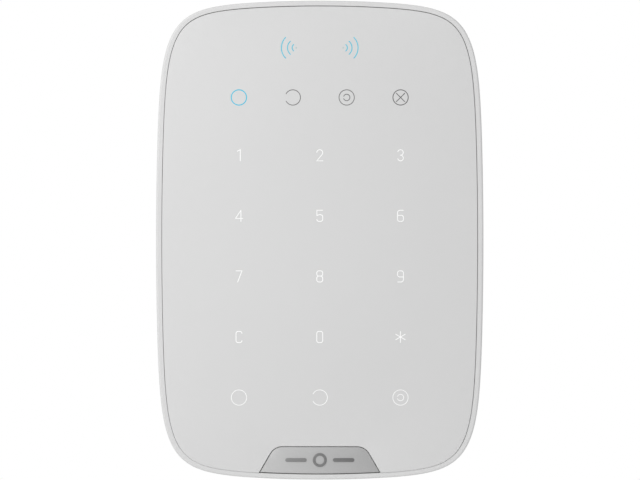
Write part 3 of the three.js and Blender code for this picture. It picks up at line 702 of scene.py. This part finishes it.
def digit_paths():
    """Centre lines of the digits, each a list of paths about the key's centre."""
    h, w = TALL, WIDE
    tight, bowl, belly, nought, waist = 0.72, 0.75, 0.8, 0.68, 0.12
    six = [
        [(0.95, h), *arc(-w + 0.9, h - 0.9, 0.9, 90, 180, 8)],
        [(0.0, -h), *arc(w - bowl, -h + bowl, bowl, 270, 360, 8)],
    ]
    six[0] += [*arc(-w + bowl, -h + bowl, bowl, 180, 270, 8), (0.0, -h)]
    six[1] += [*arc(w - bowl, 0.18 - bowl, bowl, 0, 90, 8), (-w, 0.18)]
    five = [(0.98, h), (-0.98, h), (-0.98, 0.1), *arc(0.02, -0.85 + 0.3, 0.78 + 0.2, 128, 60, 6)]
    five += arc(w - belly, 0.42 - belly, belly, 50, 0, 5)
    five += arc(w - belly, -h + belly, belly, 0, -90, 8)
    five += arc(-w + belly, -h + belly, belly, -90, -172, 8)
    head = arc(w - tight, h - tight, tight, 0, 90, 6)
    head += arc(-w + tight, h - tight, tight, 90, 180, 6)
    head += [*arc(-w + tight, waist + tight, tight, 180, 270, 6), (0.0, waist)]
    cheek = [(0.0, waist), *arc(w - tight, waist + tight, tight, 270, 360, 6), (w, h - tight)]
    clear = arc(w - tight, h - tight, tight, 5, 90, 7)
    clear += arc(-w + tight, h - tight, tight, 90, 180, 7)
    clear += arc(-w + tight, -h + tight, tight, 180, 270, 7)
    clear += arc(w - tight, -h + tight, tight, 270, 355, 7)
    spokes = [(math.cos(math.radians(a)), math.sin(math.radians(a))) for a in (90, 30, 150)]
    return {
        "1": [[(-0.55, 1.4), (0.45, h), (0.45, -h)]],
        "2": [[*arc(0, h - w, w, 172, -38, 20), (-w, -h), (w + 0.05, -h)]],
        "3": [
            [*arc(0, 0.97, 0.95, 165, -90, 20), (-0.05, 0.02)],
            [(-0.05, 0.02), *arc(0.02, -0.95, 0.97, 90, -165, 20)],
        ],
        "4": [[(0.68, h), (-1.2, -0.88), (1.3, -0.88)], [(0.68, h), (0.68, -h)]],
        "5": [five],
        "6": six,
        "7": [[(-w, h), (w, h), (-0.45, -h)]],
        "8": [head, cheek, side_path(-1, tight, waist, -h), side_path(1, tight, waist, -h)],
        "9": [half_turned(path) for path in six],
        "0": [side_path(-1, nought, h, -h), side_path(1, nought, h, -h)],
        "clear": [clear],
        "star": [[(1.9 * x, 1.9 * y), (-1.9 * x, -1.9 * y)] for x, y in spokes],
    }


def mark(name, strokes, material):
    """Thin inlays that stand a hair's breadth proud of the panel."""
    bm = bmesh.new()
    for i, points in enumerate(strokes):
        drop = 0.002 * i  # keeps the faces of crossing strokes apart
        add_plate(bm, points, [], PANEL_FRONT - 0.1 - drop, MARK_FRONT - drop)
    piece = finish_mesh(name, bm, material, "keypad")
    return piece


def shifted(points, x, y):
    return [(a + x, b + y) for a, b in points]


# Line widths and radii of the marks.
KEY_LINE = 0.28
RING_LINE = 0.22
STATUS_LINE = 0.27
ARMED_LINE = 0.33
CROSS_LINE = 0.26
WAVE_LINE = 0.33
RING_RADIUS = 2.63
INNER_RADIUS = 1.1
RING_GAP, INNER_GAP = 29, 22  # degrees open to each side of the left
CROSS_REACH = 1.45
WAVES = ((1.4, 51), (3.0, 48), (5.1, 44))  # radius, and half the angle that each one spans
WAVE_X = 8.1  # the middle of a reader mark's waves, to each side
DOT_RADIUS = 0.3


def ring_mark(x, y, kind, line):
    """A ring that is full, open, nested round a smaller open one, or full round a cross."""
    if kind == "full":
        return ring(x, y, RING_RADIUS, line)
    if kind == "open":
        return ring(x, y, RING_RADIUS, line, RING_GAP)
    if kind == "nested":
        return ring(x, y, RING_RADIUS, line) + ring(x, y, INNER_RADIUS, line, INNER_GAP)
    reach = CROSS_REACH
    cross = [
        stroke([(x - reach, y - reach), (x + reach, y + reach)], CROSS_LINE),
        stroke([(x - reach, y + reach), (x + reach, y - reach)], CROSS_LINE),
    ]
    return ring(x, y, RING_RADIUS, line) + cross


def marks():
    """Every key, status symbol and reader mark, each over its own light."""
    for key, paths in digit_paths().items():
        x, y = centre_of(f"key_led_{key}")
        strokes = [stroke(shifted(path, x, y), KEY_LINE) for path in paths]
        mark(f"mark_key_{key}", strokes, WHITE_MARK)
    for key, kind in (("arm", "full"), ("disarm", "open"), ("night", "nested")):
        x, y = centre_of(f"key_led_{key}")
        mark(f"mark_key_{key}", ring_mark(x, y, kind, RING_LINE), WHITE_MARK)
    for status, kind, line, material in (
        ("armed", "full", ARMED_LINE, CYAN_MARK),
        ("disarmed", "open", STATUS_LINE, GREY_MARK),
        ("night", "nested", STATUS_LINE, GREY_MARK),
        ("fault", "cross", STATUS_LINE, DARK_MARK),
    ):
        x, y = centre_of(f"status_led_{status}")
        mark(f"mark_status_{status}", ring_mark(x, y, kind, line), material)
    for side, name in ((-1, "left"), (1, "right")):
        x, y = side * WAVE_X, centre_of(f"reader_led_{name}")[1]
        middle = 180 if side < 0 else 0
        waves = [
            stroke(arc(x, y, radius, middle - half, middle + half, 16), WAVE_LINE)
            for radius, half in WAVES
        ]
        mark(f"mark_reader_{name}", waves, CYAN_FAINT)
        mark(f"mark_reader_dot_{name}", [circle(x, y, DOT_RADIUS, 24)], DOT_MARK)


# Wall bracket and lock screw


THICKNESS = 1.4
BRACKET_INSET = 4.0
RIB_INSET, RIB_FRONT = 5.4, 2.0  # the rib along the bracket's edge
SUNK = THICKNESS - 0.5  # ribs and bars start this far out, inside the plate
BAR_FRONT = 2.2
WALL_SLOTS = [(x, y) for x in (-14, 14) for y in (66, -62)]  # for screws into the wall
TAB_HALF, TAB_BOTTOM, TAB_TOP = 9, -27.0, -3.2  # the tab that breaks off with the wall
TAB_BRIDGE_HALF, TAB_SLOT = 1.1, 0.9
TAB_SCREW_UP, TAB_SCREW_RADIUS = -21.5, 2.3
HOOKS = ((30, 56), (-30, 56), (30, -62), (-30, -62))  # the lower middle of each hook
HOOK_BACK, HOOK_NECK, HOOK_FRONT = 1.1, 5.7, 7.1
PIN_MARKS = [(x, y) for x in (-41, 41) for y in (-40, 8, 44)] + [(0, 70), (0, 30), (0, -52)]
PIN_RADIUS, PIN_DEPTH = 2.4, 0.12  # the round prints that moulding leaves on the back
RAMP_BOTTOM, RAMP_TOP, RAMP_HALF = -14.6, -4, 2.6
RAMP_REST_UP, RAMP_REST, RAMP_SLOPE = -12.0, 3.0, 0.2  # where the plunger rests, and the rise
LUG_HALF, LUG_REACH, LUG_THICKNESS = 5, 7.5, 2
LUG_HOLE_OUT, LUG_HOLE_RADIUS = 4.6, 1.6


def rounded(x0, x1, y0, y1, radius):
    """A rectangle with round corners, anticlockwise."""
    corners = ((x1, y0, -1, 1), (x1, y1, -1, -1), (x0, y1, 1, -1), (x0, y0, 1, 1))
    points = []
    for turn, (x, y, inward_x, inward_y) in enumerate(corners):
        start = -90 + 90 * turn
        points += arc(x + inward_x * radius, y + inward_y * radius, radius, start, start + 90, 5)
    return points


def stiffeners():
    """Two uprights and two crossbars in one moulding, as an outer outline and its window."""
    x, y, half, line = 16.5, 50.0, 44.0, 0.6
    arm = [(half, y + line), (half, y - line), (x + line, y - line)]
    right = [(a, -b) for a, b in arm] + arm[::-1]
    outer = right + [(-a, b) for a, b in reversed(right)]
    return outer, rounded(-x + line, x - line, -y + line, y - line, 0.3)


def bracket_outline(inset):
    """The bracket's outline: the upper half as it is, the lower half drawn up by the lift."""
    return [(x, y + LIFT * (y < 0)) for x, y in outline(inset) if abs(y) >= LIFT / 2]


def tab_slots():
    """The L-shaped slots round the tab's corners, which leave a bridge in each side."""
    slots = []
    middle = (TAB_BOTTOM + TAB_TOP) / 2
    for side in (-1, 1):
        for edge in (TAB_BOTTOM, TAB_TOP):
            toward = 1 if edge < middle else -1
            corner = (side * TAB_HALF, edge)
            end = (side * TAB_HALF, middle - toward * TAB_BRIDGE_HALF)
            path = [(side * TAB_BRIDGE_HALF, edge), corner, end]
            if side * toward < 0:
                path = path[::-1]
            slots.append(stroke(path, TAB_SLOT, 5))
    return slots


def upright(a, b, t):
    """Places a profile of (up, out) that is drawn out along x."""
    return to_frame(t, a, b)


def level(a, b, t):
    """Places a profile of (x, out) that is drawn out upwards."""
    return to_frame(a, t, b)


def bracket_part(name, bm):
    return finish_mesh(name, bm, BRACKET_PLASTIC, "wall_bracket", ROUND_ANGLE)


def bracket_plate():
    """The plate itself, with every slot and window through it."""
    slots = [stroke([(x - 2.2, y), (x + 2.2, y)], 4.6, 10) for x, y in WALL_SLOTS]
    slots += tab_slots()
    slots.append(circle(0, TAB_SCREW_UP, TAB_SCREW_RADIUS, 36))
    for x, y in HOOKS:
        slots.append(rounded(x - 3.4, x + 3.4, y + 3.3, y + 6.9, 0.5))
    contour = bracket_outline(BRACKET_INSET)
    bm = add_plate(bmesh.new(), contour, slots, 0.0, THICKNESS, 0.25, round_back=True)
    plate = bracket_part("bracket_plate", bm)
    pins = bmesh.new()
    for x, y in PIN_MARKS:
        add_plate(pins, circle(x, y, PIN_RADIUS, 45), [], -1.0, PIN_DEPTH)
    boolean(plate, pins, "DIFFERENCE")
    flatten_shading(plate)
    return plate


def hook(number, x, y):
    profile = [(y, HOOK_BACK), (y + 3, HOOK_BACK), (y + 3, HOOK_NECK)]
    profile += [(y + 6.5, HOOK_NECK), (y + 6.5, HOOK_FRONT), (y, HOOK_FRONT)]
    bm = add_plate(bmesh.new(), profile, [], x - 3, x + 3, 0.2, 2, upright, True)
    return bracket_part(f"bracket_hook_{number}", bm)


def ramp():
    """The slope that holds the tamper plunger in until the keypad lifts."""

    def height(up):
        return RAMP_REST - RAMP_SLOPE * (up - RAMP_REST_UP)

    profile = [(RAMP_BOTTOM, 1.1), (RAMP_TOP, 1.1)]
    profile += [(RAMP_TOP, height(RAMP_TOP)), (RAMP_BOTTOM, height(RAMP_BOTTOM))]
    bm = add_plate(bmesh.new(), profile, [], -RAMP_HALF, RAMP_HALF, 0.15, 2, upright, True)
    return bracket_part("bracket_ramp", bm)


def lug():
    """The lug that the lock screw passes through, and the tongue that joins it to the plate."""
    half, corner = LUG_HALF, 1
    outer = [(-half, 0.0), (half, 0.0)]
    outer += arc(half - corner, LUG_REACH - corner, corner, 0, 90, 5)
    outer += arc(corner - half, LUG_REACH - corner, corner, 90, 180, 5)
    hole = circle(0, LUG_HOLE_OUT, LUG_HOLE_RADIUS, 45)
    low = BRACKET[2]
    bm = add_plate(bmesh.new(), outer, [hole], low, low + LUG_THICKNESS, 0.2, 2, level, True)
    piece = bracket_part("bracket_lug", bm)
    low, high, half = low + 0.3, -71.0, half - 0.05
    tongue = [(-half, low), (half, low), (half, high), (-half, high)]
    bm = add_plate(bmesh.new(), tongue, [], 0.02, THICKNESS - 0.02, 0.15, 2, round_back=True)
    boolean(piece, bm, "UNION")
    return piece


def bracket():
    """The plate with its slots, and everything that stands on it."""
    plate = bracket_plate()
    outer, window = bracket_outline(BRACKET_INSET), bracket_outline(RIB_INSET)
    bm = add_plate(bmesh.new(), outer, [window], SUNK, RIB_FRONT, 0.15, 2)
    rib = bracket_part("bracket_rib", bm)
    outer, window = stiffeners()
    bm = add_plate(bmesh.new(), outer, [window], SUNK, BAR_FRONT, 0.15, 2)
    bars = bracket_part("bracket_stiffeners", bm)
    hooks = [hook(number, x, y) for number, (x, y) in enumerate(HOOKS, 1)]
    covers("wall_bracket", "bracket", *hooks, plate, rib, bars, ramp(), lug())


HEAD_HEIGHT = 1.6
SHANK_RADIUS = 1.25
THREAD_PITCH, THREAD_DEPTH = 0.5, 0.22
CROSS_LENGTH, CROSS_WIDTH, CROSS_DEPTH = 2.6, 0.6, 0.9


def lock_screw():
    """A small screw with a thread and a cross recess, its head down."""
    x0, x1, low, high, out0, out1 = SCREW
    x, out = (x0 + x1) / 2, (out0 + out1) / 2
    head, shank, seat = (x1 - x0) / 2, SHANK_RADIUS, low + HEAD_HEIGHT
    profile = [(0.0, low), (head * 0.35, low), (head * 0.62, low + 0.06)]
    profile += [(head * 0.82, low + 0.28), (head * 0.95, low + 0.62), (head, low + 0.95)]
    profile += [(head, seat - 0.1), (head - 0.1, seat), (shank, seat)]
    up = seat + 0.6
    while up < high - 1.0:
        profile += [(shank, up), (shank - THREAD_DEPTH, up + THREAD_PITCH / 2)]
        up += THREAD_PITCH
    profile += [(shank * 0.6, high - 0.5), (shank * 0.3, high), (0.0, high)]
    bm = revolve(profile, lambda a, b, t: to_frame(x + a, t, out + b))
    screw = finish_mesh("lock_screw_turned", bm, ZINC, "lock_screw", 30)
    for wide, deep in ((CROSS_LENGTH, CROSS_WIDTH), (CROSS_WIDTH, CROSS_LENGTH)):
        sides = (x - wide / 2, x + wide / 2, low - 1, low + CROSS_DEPTH)
        cutter = add_box(bmesh.new(), *sides, out - deep / 2, out + deep / 2)
        boolean(screw, cutter, "DIFFERENCE")
    covers("lock_screw", "screw", screw)


# Inner pieces: the CAD's own shapes, with rounded edges and finishes


def board_material():
    """Green solder mask over bands of tracks, with a scatter of small vias."""
    s = Shader("solder_mask", 0.35)
    mask, raised, tinned = (0.012, 0.1, 0.045, 1), (0.02, 0.145, 0.066, 1), (0.3, 0.32, 0.22, 1)

    def tracks(direction):
        wave = s.node("ShaderNodeTexWave", Vector=s.coordinates, Scale=260.0, Distortion=0.0)
        wave.bands_direction = direction
        return s.ramp(wave.outputs["Fac"], [(0.62, grey(0.0)), (0.72, grey(1.0))])

    areas = s.cells(75, vector=s.mapped(1, 0, 0.5))
    turn = s.ramp(s.noise(60, 0.0), [(0.495, grey(0.0)), (0.505, grey(1.0))])
    bare = s.ramp(areas, [(0.34, grey(1.0)), (0.36, grey(0.0))])
    copper = s.mix(bare, s.mix(turn, tracks("X"), tracks("Z")), grey(0.0))
    vias = s.cells(170, vector=s.mapped(1, 0, 1))
    ringed = s.ramp(vias, [(0.07, grey(0.0)), (0.09, grey(1.0))])
    s.set(
        Base_Color=s.mix(ringed, tinned, s.mix(copper, mask, raised)),
        Roughness=s.spread(s.noise(900), 0.3, 0.45),
        Normal=s.bump(copper, 0.2, 0.03),
    )
    return s.material


def foam_material():
    """Black open-cell foam."""
    s = Shader("foam", 0.95)
    pores = s.cells(2600)
    s.set(
        Base_Color=s.ramp(pores, [(0.1, grey(0.006)), (0.6, grey(0.03))]),
        Normal=s.bump(pores, 0.6, 0.05),
    )
    return s.material


def cell_material(node, low, high):
    """A plain printed sleeve, dark with a light band at the plus end, and bare steel ends."""
    s = Shader(f"{node}_sleeve", 0.28, 0.3)
    along = s.along("Z", low, high) if node.endswith("outer") else s.along("Z", high, low)
    sleeve = [(0.015, grey(0.6)), (0.0155, (0.02, 0.03, 0.045)), (0.715, (0.03, 0.05, 0.08))]
    sleeve += [(0.717, grey(0.45)), (0.9745, grey(0.45)), (0.975, grey(0.6))]
    steel = [(0.015, grey(1.0)), (0.0155, grey(0.0)), (0.9745, grey(0.0)), (0.975, grey(1.0))]
    wear = s.noise(700, 3.0)
    s.set(
        Base_Color=s.ramp(along, sleeve),
        Metallic=s.ramp(along, steel),
        Roughness=s.spread(wear, 0.22, 0.36),
    )
    return s.material


def film_material():
    """Milky diffuser film."""
    s = Shader("diffuser", 0.6)
    haze = s.noise(1500)
    s.set(
        Base_Color=s.ramp(haze, [(0.3, grey(0.8)), (0.7, grey(0.88))]),
        Roughness=s.spread(haze, 0.55, 0.7),
    )
    return s.material


def resin_material():
    """The pale yellow resin over a small LED."""
    s = Shader("led_resin", 0.2)
    swirl = s.noise(1800)
    s.set(Base_Color=s.ramp(swirl, [(0.35, (0.9, 0.86, 0.66, 1)), (0.65, (0.95, 0.93, 0.8, 1))]))
    return s.material


def plunger_profile(radius, back, front):
    """Domed tip, thin stem and the collar that the spring pushes on."""
    stem, collar = 1.8, back + 3.8
    return [
        *arc(0, back + stem, stem, -90, 0, 12),
        (stem, collar),
        *arc(radius - 0.15, collar + 0.15, 0.15, -90, 0, 3),
        *arc(radius - 0.15, collar + 0.85, 0.15, 0, 90, 3),
        (stem, collar + 1),
        (stem, front - 0.15),
        (stem - 0.15, front),
        (0, front),
    ]


def button_profile(radius, back, front):
    """A dished cap, the flange that keeps it in the casing, and its stem."""
    cap, stem, flange = 2.8, 1.5, back + 2.4
    return [
        (0, back + 0.12),
        (1.2, back + 0.09),
        (2.0, back + 0.02),
        *arc(cap - 0.4, back + 0.4, 0.4, -90, 0, 5),
        (cap, flange),
        *arc(radius - 0.15, flange + 0.15, 0.15, -90, 0, 3),
        *arc(radius - 0.15, flange + 0.65, 0.15, 0, 90, 3),
        (stem, flange + 0.8),
        (stem, front - 0.15),
        (stem - 0.15, front),
        (0, front),
    ]


def buzzer_profile(radius, back, front):
    """A can with a stepped face round its sound hole."""
    mouth = 1.3
    return [
        (0, back + 1.5),
        (mouth, back + 1.5),
        *arc(mouth + 0.15, back + 0.15, 0.15, 180, 270, 3),
        (radius - 1.6, back),
        (radius - 1.5, back + 0.1),
        (radius - 0.9, back + 0.1),
        *arc(radius - 0.35, back + 0.45, 0.35, -90, 0, 5),
        (radius, front),
        (0, front),
    ]


def cell_profile(radius, foot, tip):
    """A cell from its flat end to its nub, with the sleeve rolled over both ends."""
    body = tip - 1.0
    return [
        (0, foot + 0.2),
        (3.4, foot + 0.2),
        (3.7, foot),
        *arc(radius - 0.7, foot + 0.5, 0.5, -90, 0, 5),
        (radius - 0.2, foot + 0.75),
        (radius, foot + 0.85),
        *arc(radius - 0.5, body - 0.5, 0.5, 0, 90, 6),
        (radius - 0.9, body - 0.02),
        (radius - 1.0, body - 0.3),
        (3.2, body - 0.3),
        (2.75, body - 0.1),
        *arc(2.75 - 0.25, tip - 0.25, 0.25, 0, 90, 4),
        (0, tip),
    ]


def turned_shape(node):
    """The shape of a round inner piece, or nothing for a node that isn't round."""
    x0, x1, up0, up1, out0, out1 = box_mm(node)
    x, up, out, radius = (x0 + x1) / 2, (up0 + up1) / 2, (out0 + out1) / 2, (x1 - x0) / 2
    profiles = {"tamper_plunger": plunger_profile, "power_button": button_profile}
    profiles["buzzer"] = buzzer_profile
    if node in profiles:
        profile = profiles[node](radius, out0, out1)
        return revolve(profile, lambda a, b, t: to_frame(x + a, up + b, t))
    if node.startswith("cell_"):
        way = 1 if node.endswith("outer") else -1
        half = (up1 - up0) / 2
        profile = cell_profile(radius, -half, half)
        return revolve(profile, lambda a, b, t: to_frame(x + a, up + way * t, out + b), 64)
    return None


def refined(node, slot, material, edge):
    """A CAD node's shape again, turned afresh where it is round, or smoothed and eased."""
    empty = NODES[node].parent
    body = next(name for name, other in frame["bodies"].items() if other is empty)
    shape = turned_shape(node)
    angle = WIRE_ANGLE if slot in WIRE_SLOTS else SMOOTH_ANGLE
    piece = finish_mesh(f"{node}_finished", shape or welded(node), material, body, angle)
    if edge and not shape:
        soften(piece, edge)
    covers(node, slot, piece)


def chip_legs(node, pitch, count):
    """Gull-wing legs from a chip's two sides down to the board."""
    x0, x1, up0, up1, out0, out1 = box_mm(node)
    middle, up = (x0 + x1) / 2, (up0 + up1) / 2
    side_face, root, board = (x1 - x0) / 2, (out0 + out1) / 2, out1
    hidden, elbow, toe, leg = side_face - 0.1, side_face + 0.55, side_face + 1.0, 0.2
    wing = [(hidden, root - leg / 2), (elbow, root - leg / 2), (elbow, board - leg)]
    wing += [(toe, board - leg), (toe, board), (elbow - leg, board)]
    wing += [(elbow - leg, root + leg / 2), (hidden, root + leg / 2)]
    bm = bmesh.new()
    for side in (-1, 1):

        def mirrored(a, b, t):
            return to_frame(middle + side * a, t, b)

        for i in range(count):
            at = up + (i - (count - 1) / 2) * pitch
            add_plate(bm, wing[::side], [], at - 0.15, at + 0.15, place=mirrored)
    legs = finish_mesh(f"{node}_legs", bm, CONTACT_METAL, "keypad")


SMALL_ROWS = ((-14.5, -19.0), (-14.5, -37.5), (-4.4, 30.5), (-4.4, 45.0))  # left end and up
SMALL_COUNT, SMALL_PITCH = 5, 2.2
SMALL_LENGTH, SMALL_WIDTH, SMALL_HEIGHT = 1.4, 0.7, 0.35
SMALL_END = 0.3  # the soldered cap at each end
CAP_LAP = 0.02  # a cap stands this much proud of the body it wraps


def small_parts():
    """Rows of chip resistors and capacitors soldered round the chips."""
    board = box_mm("touch_board")[4]
    bodies, ends = bmesh.new(), bmesh.new()
    for x, up in SMALL_ROWS:
        for i in range(SMALL_COUNT):
            left = x + SMALL_PITCH * i
            right = left + SMALL_LENGTH - SMALL_END
            top, back = up + SMALL_WIDTH, board - SMALL_HEIGHT
            add_box(bodies, left + SMALL_END, right, up, top, back, board)
            low, high, back = up - CAP_LAP, top + CAP_LAP, back - CAP_LAP
            for end in (left, right):
                add_box(ends, end, end + SMALL_END, low, high, back, board)
    ceramic = moulded_plastic("ceramic", (0.42, 0.3, 0.17, 1), 0.4, 0.1, 0.2)
    for name, bm, material in (
        ("small_part_bodies", bodies, ceramic),
        ("small_part_ends", ends, CONTACT_METAL),
    ):
        piece = finish_mesh(name, bm, material, "keypad")
        soften(piece, 0.05)


def finish_inner():
    """Every inner piece, with a material and an edge rounding for each slot."""
    tin = metal("tin_can", (0.68, 0.69, 0.71, 1), 0.28, (1, 1, 4))
    epoxy = moulded_plastic("epoxy", grey(0.025), 0.45, 0.15, 0.3)
    paper = moulded_plastic("label_paper", grey(0.8), 0.75, 0.35, 0.15)
    tape = moulded_plastic("foam_tape", (0.75, 0.74, 0.7, 1), 0.85, 0.3, 0.5)
    finishes = {
        "adhesive": (tape, 0.0),
        "film": (film_material(), 0.0),
        "foam": (foam_material(), 0.0),
        "board": (board_material(), 0.0),
        "label": (paper, 0.0),
        "screw": (ZINC, 0.1),
        "led": (resin_material(), 0.1),
        "button": (DARK_PLASTIC, 0.15),
        "spring": (CONTACT_METAL, 0.06),
        "chip": (epoxy, 0.12),
        "can": (tin, 0.25),
        "copper": (metal("copper", (0.75, 0.36, 0.19, 1), 0.3), 0.0),
        "cell": (None, 0.0),
    }
    for entry in frame["record"]["subparts"]:
        node, slot = entry["node"], entry["material_slot"]
        if slot not in finishes or NODES[node].hide_render:
            continue
        material, edge = finishes[slot]
        if slot == "cell":
            material = cell_material(node, *box_mm(node)[2:4])
        refined(node, slot, material, edge)
    chip_legs("microcontroller", 0.9, 8)
    chip_legs("reader_chip", 0.8, 5)
    small_parts()


# Studio


AMBIENT = 0.56
FLOOR_LEVEL = -0.25
FLOOR_HALF = 2.1


def area_light(name, place, size, power):
    """A square light, size metres wide, turned to the middle of the object."""
    light = bpy.data.lights.new(name, "AREA")
    light.shape = "RECTANGLE"
    light.size, light.size_y = size, size
    light.energy = power
    lamp = added(name, light)
    lamp.location = place
    lamp.rotation_mode = "QUATERNION"
    lamp.rotation_quaternion = (-Vector(place)).to_track_quat("-Z", "Y")


def floor_paint():
    """Pale paint that a camera below the floor looks through."""
    s = Shader("floor_paint", 0.8)
    s.set(Base_Color=s.ramp(s.noise(3), [(0.3, grey(0.86)), (0.7, grey(0.89))]))
    clear = s.node("ShaderNodeBsdfTransparent")
    side = s.tree.nodes.new("ShaderNodeNewGeometry").outputs["Backfacing"]
    choose = s.node("ShaderNodeMixShader")
    s.put(choose.inputs["Fac"], side)
    s.put(choose.inputs[1], s.shader.outputs["BSDF"])
    s.put(choose.inputs[2], clear.outputs["BSDF"])
    s.put(s.tree.nodes["Material Output"].inputs["Surface"], choose.outputs["Shader"])
    return s.material


def studio():
    """A white room that lights the object evenly, three soft lights and a pale floor."""
    scene = bpy.context.scene
    scene.view_settings.view_transform = "Standard"
    world = bpy.data.worlds.new("studio")
    scene.world = world
    world.use_nodes = True
    tree = world.node_tree
    seen, lit = tree.nodes["Background"], tree.nodes.new("ShaderNodeBackground")
    for background, strength in ((seen, 1.0), (lit, AMBIENT)):
        background.inputs["Color"].default_value = (1, 1, 1, 1)
        background.inputs["Strength"].default_value = strength
    path = tree.nodes.new("ShaderNodeLightPath")
    choose = tree.nodes.new("ShaderNodeMixShader")
    for i, source in enumerate((path.outputs["Is Camera Ray"], lit.outputs[0], seen.outputs[0])):
        tree.links.new(source, choose.inputs[i])
    tree.links.new(choose.outputs[0], tree.nodes["World Output"].inputs["Surface"])

    area_light("key_light", (-0.5, -0.6, 0.4), 0.6, 4.5)
    area_light("fill_light", (0.7, -0.9, -0.1), 0.8, 1.1)
    area_light("back_light", (0.5, 0.9, 0.6), 0.8, 5.5)

    bm = bmesh.new()
    bmesh.ops.create_grid(bm, x_segments=8, y_segments=8, size=FLOOR_HALF)
    floor = mesh_object("floor", bm)
    floor.location = (0, 0, FLOOR_LEVEL)
    floor.data.materials.append(floor_paint())


def camera():
    """A long lens straight in front, so that the object is seen almost without perspective."""
    lens, sensor = 200.0, 36.0
    across = 0.2203098  # metres across the view at the panel's front face
    front = -PANEL[5] * MM
    data = bpy.data.cameras.new("camera")
    data.lens = lens
    data.sensor_width = sensor
    view = added("camera", data)
    view.location = (0.00009, front - across * lens / sensor, 0.00003)
    view.rotation_euler = (math.pi / 2, 0, 0)
    data.clip_start = 0.01
    data.clip_end = 50
    bpy.context.scene.camera = view


casing()
front_panel()
badge()
marks()
bracket()
lock_screw()
finish_inner()
studio()
camera()
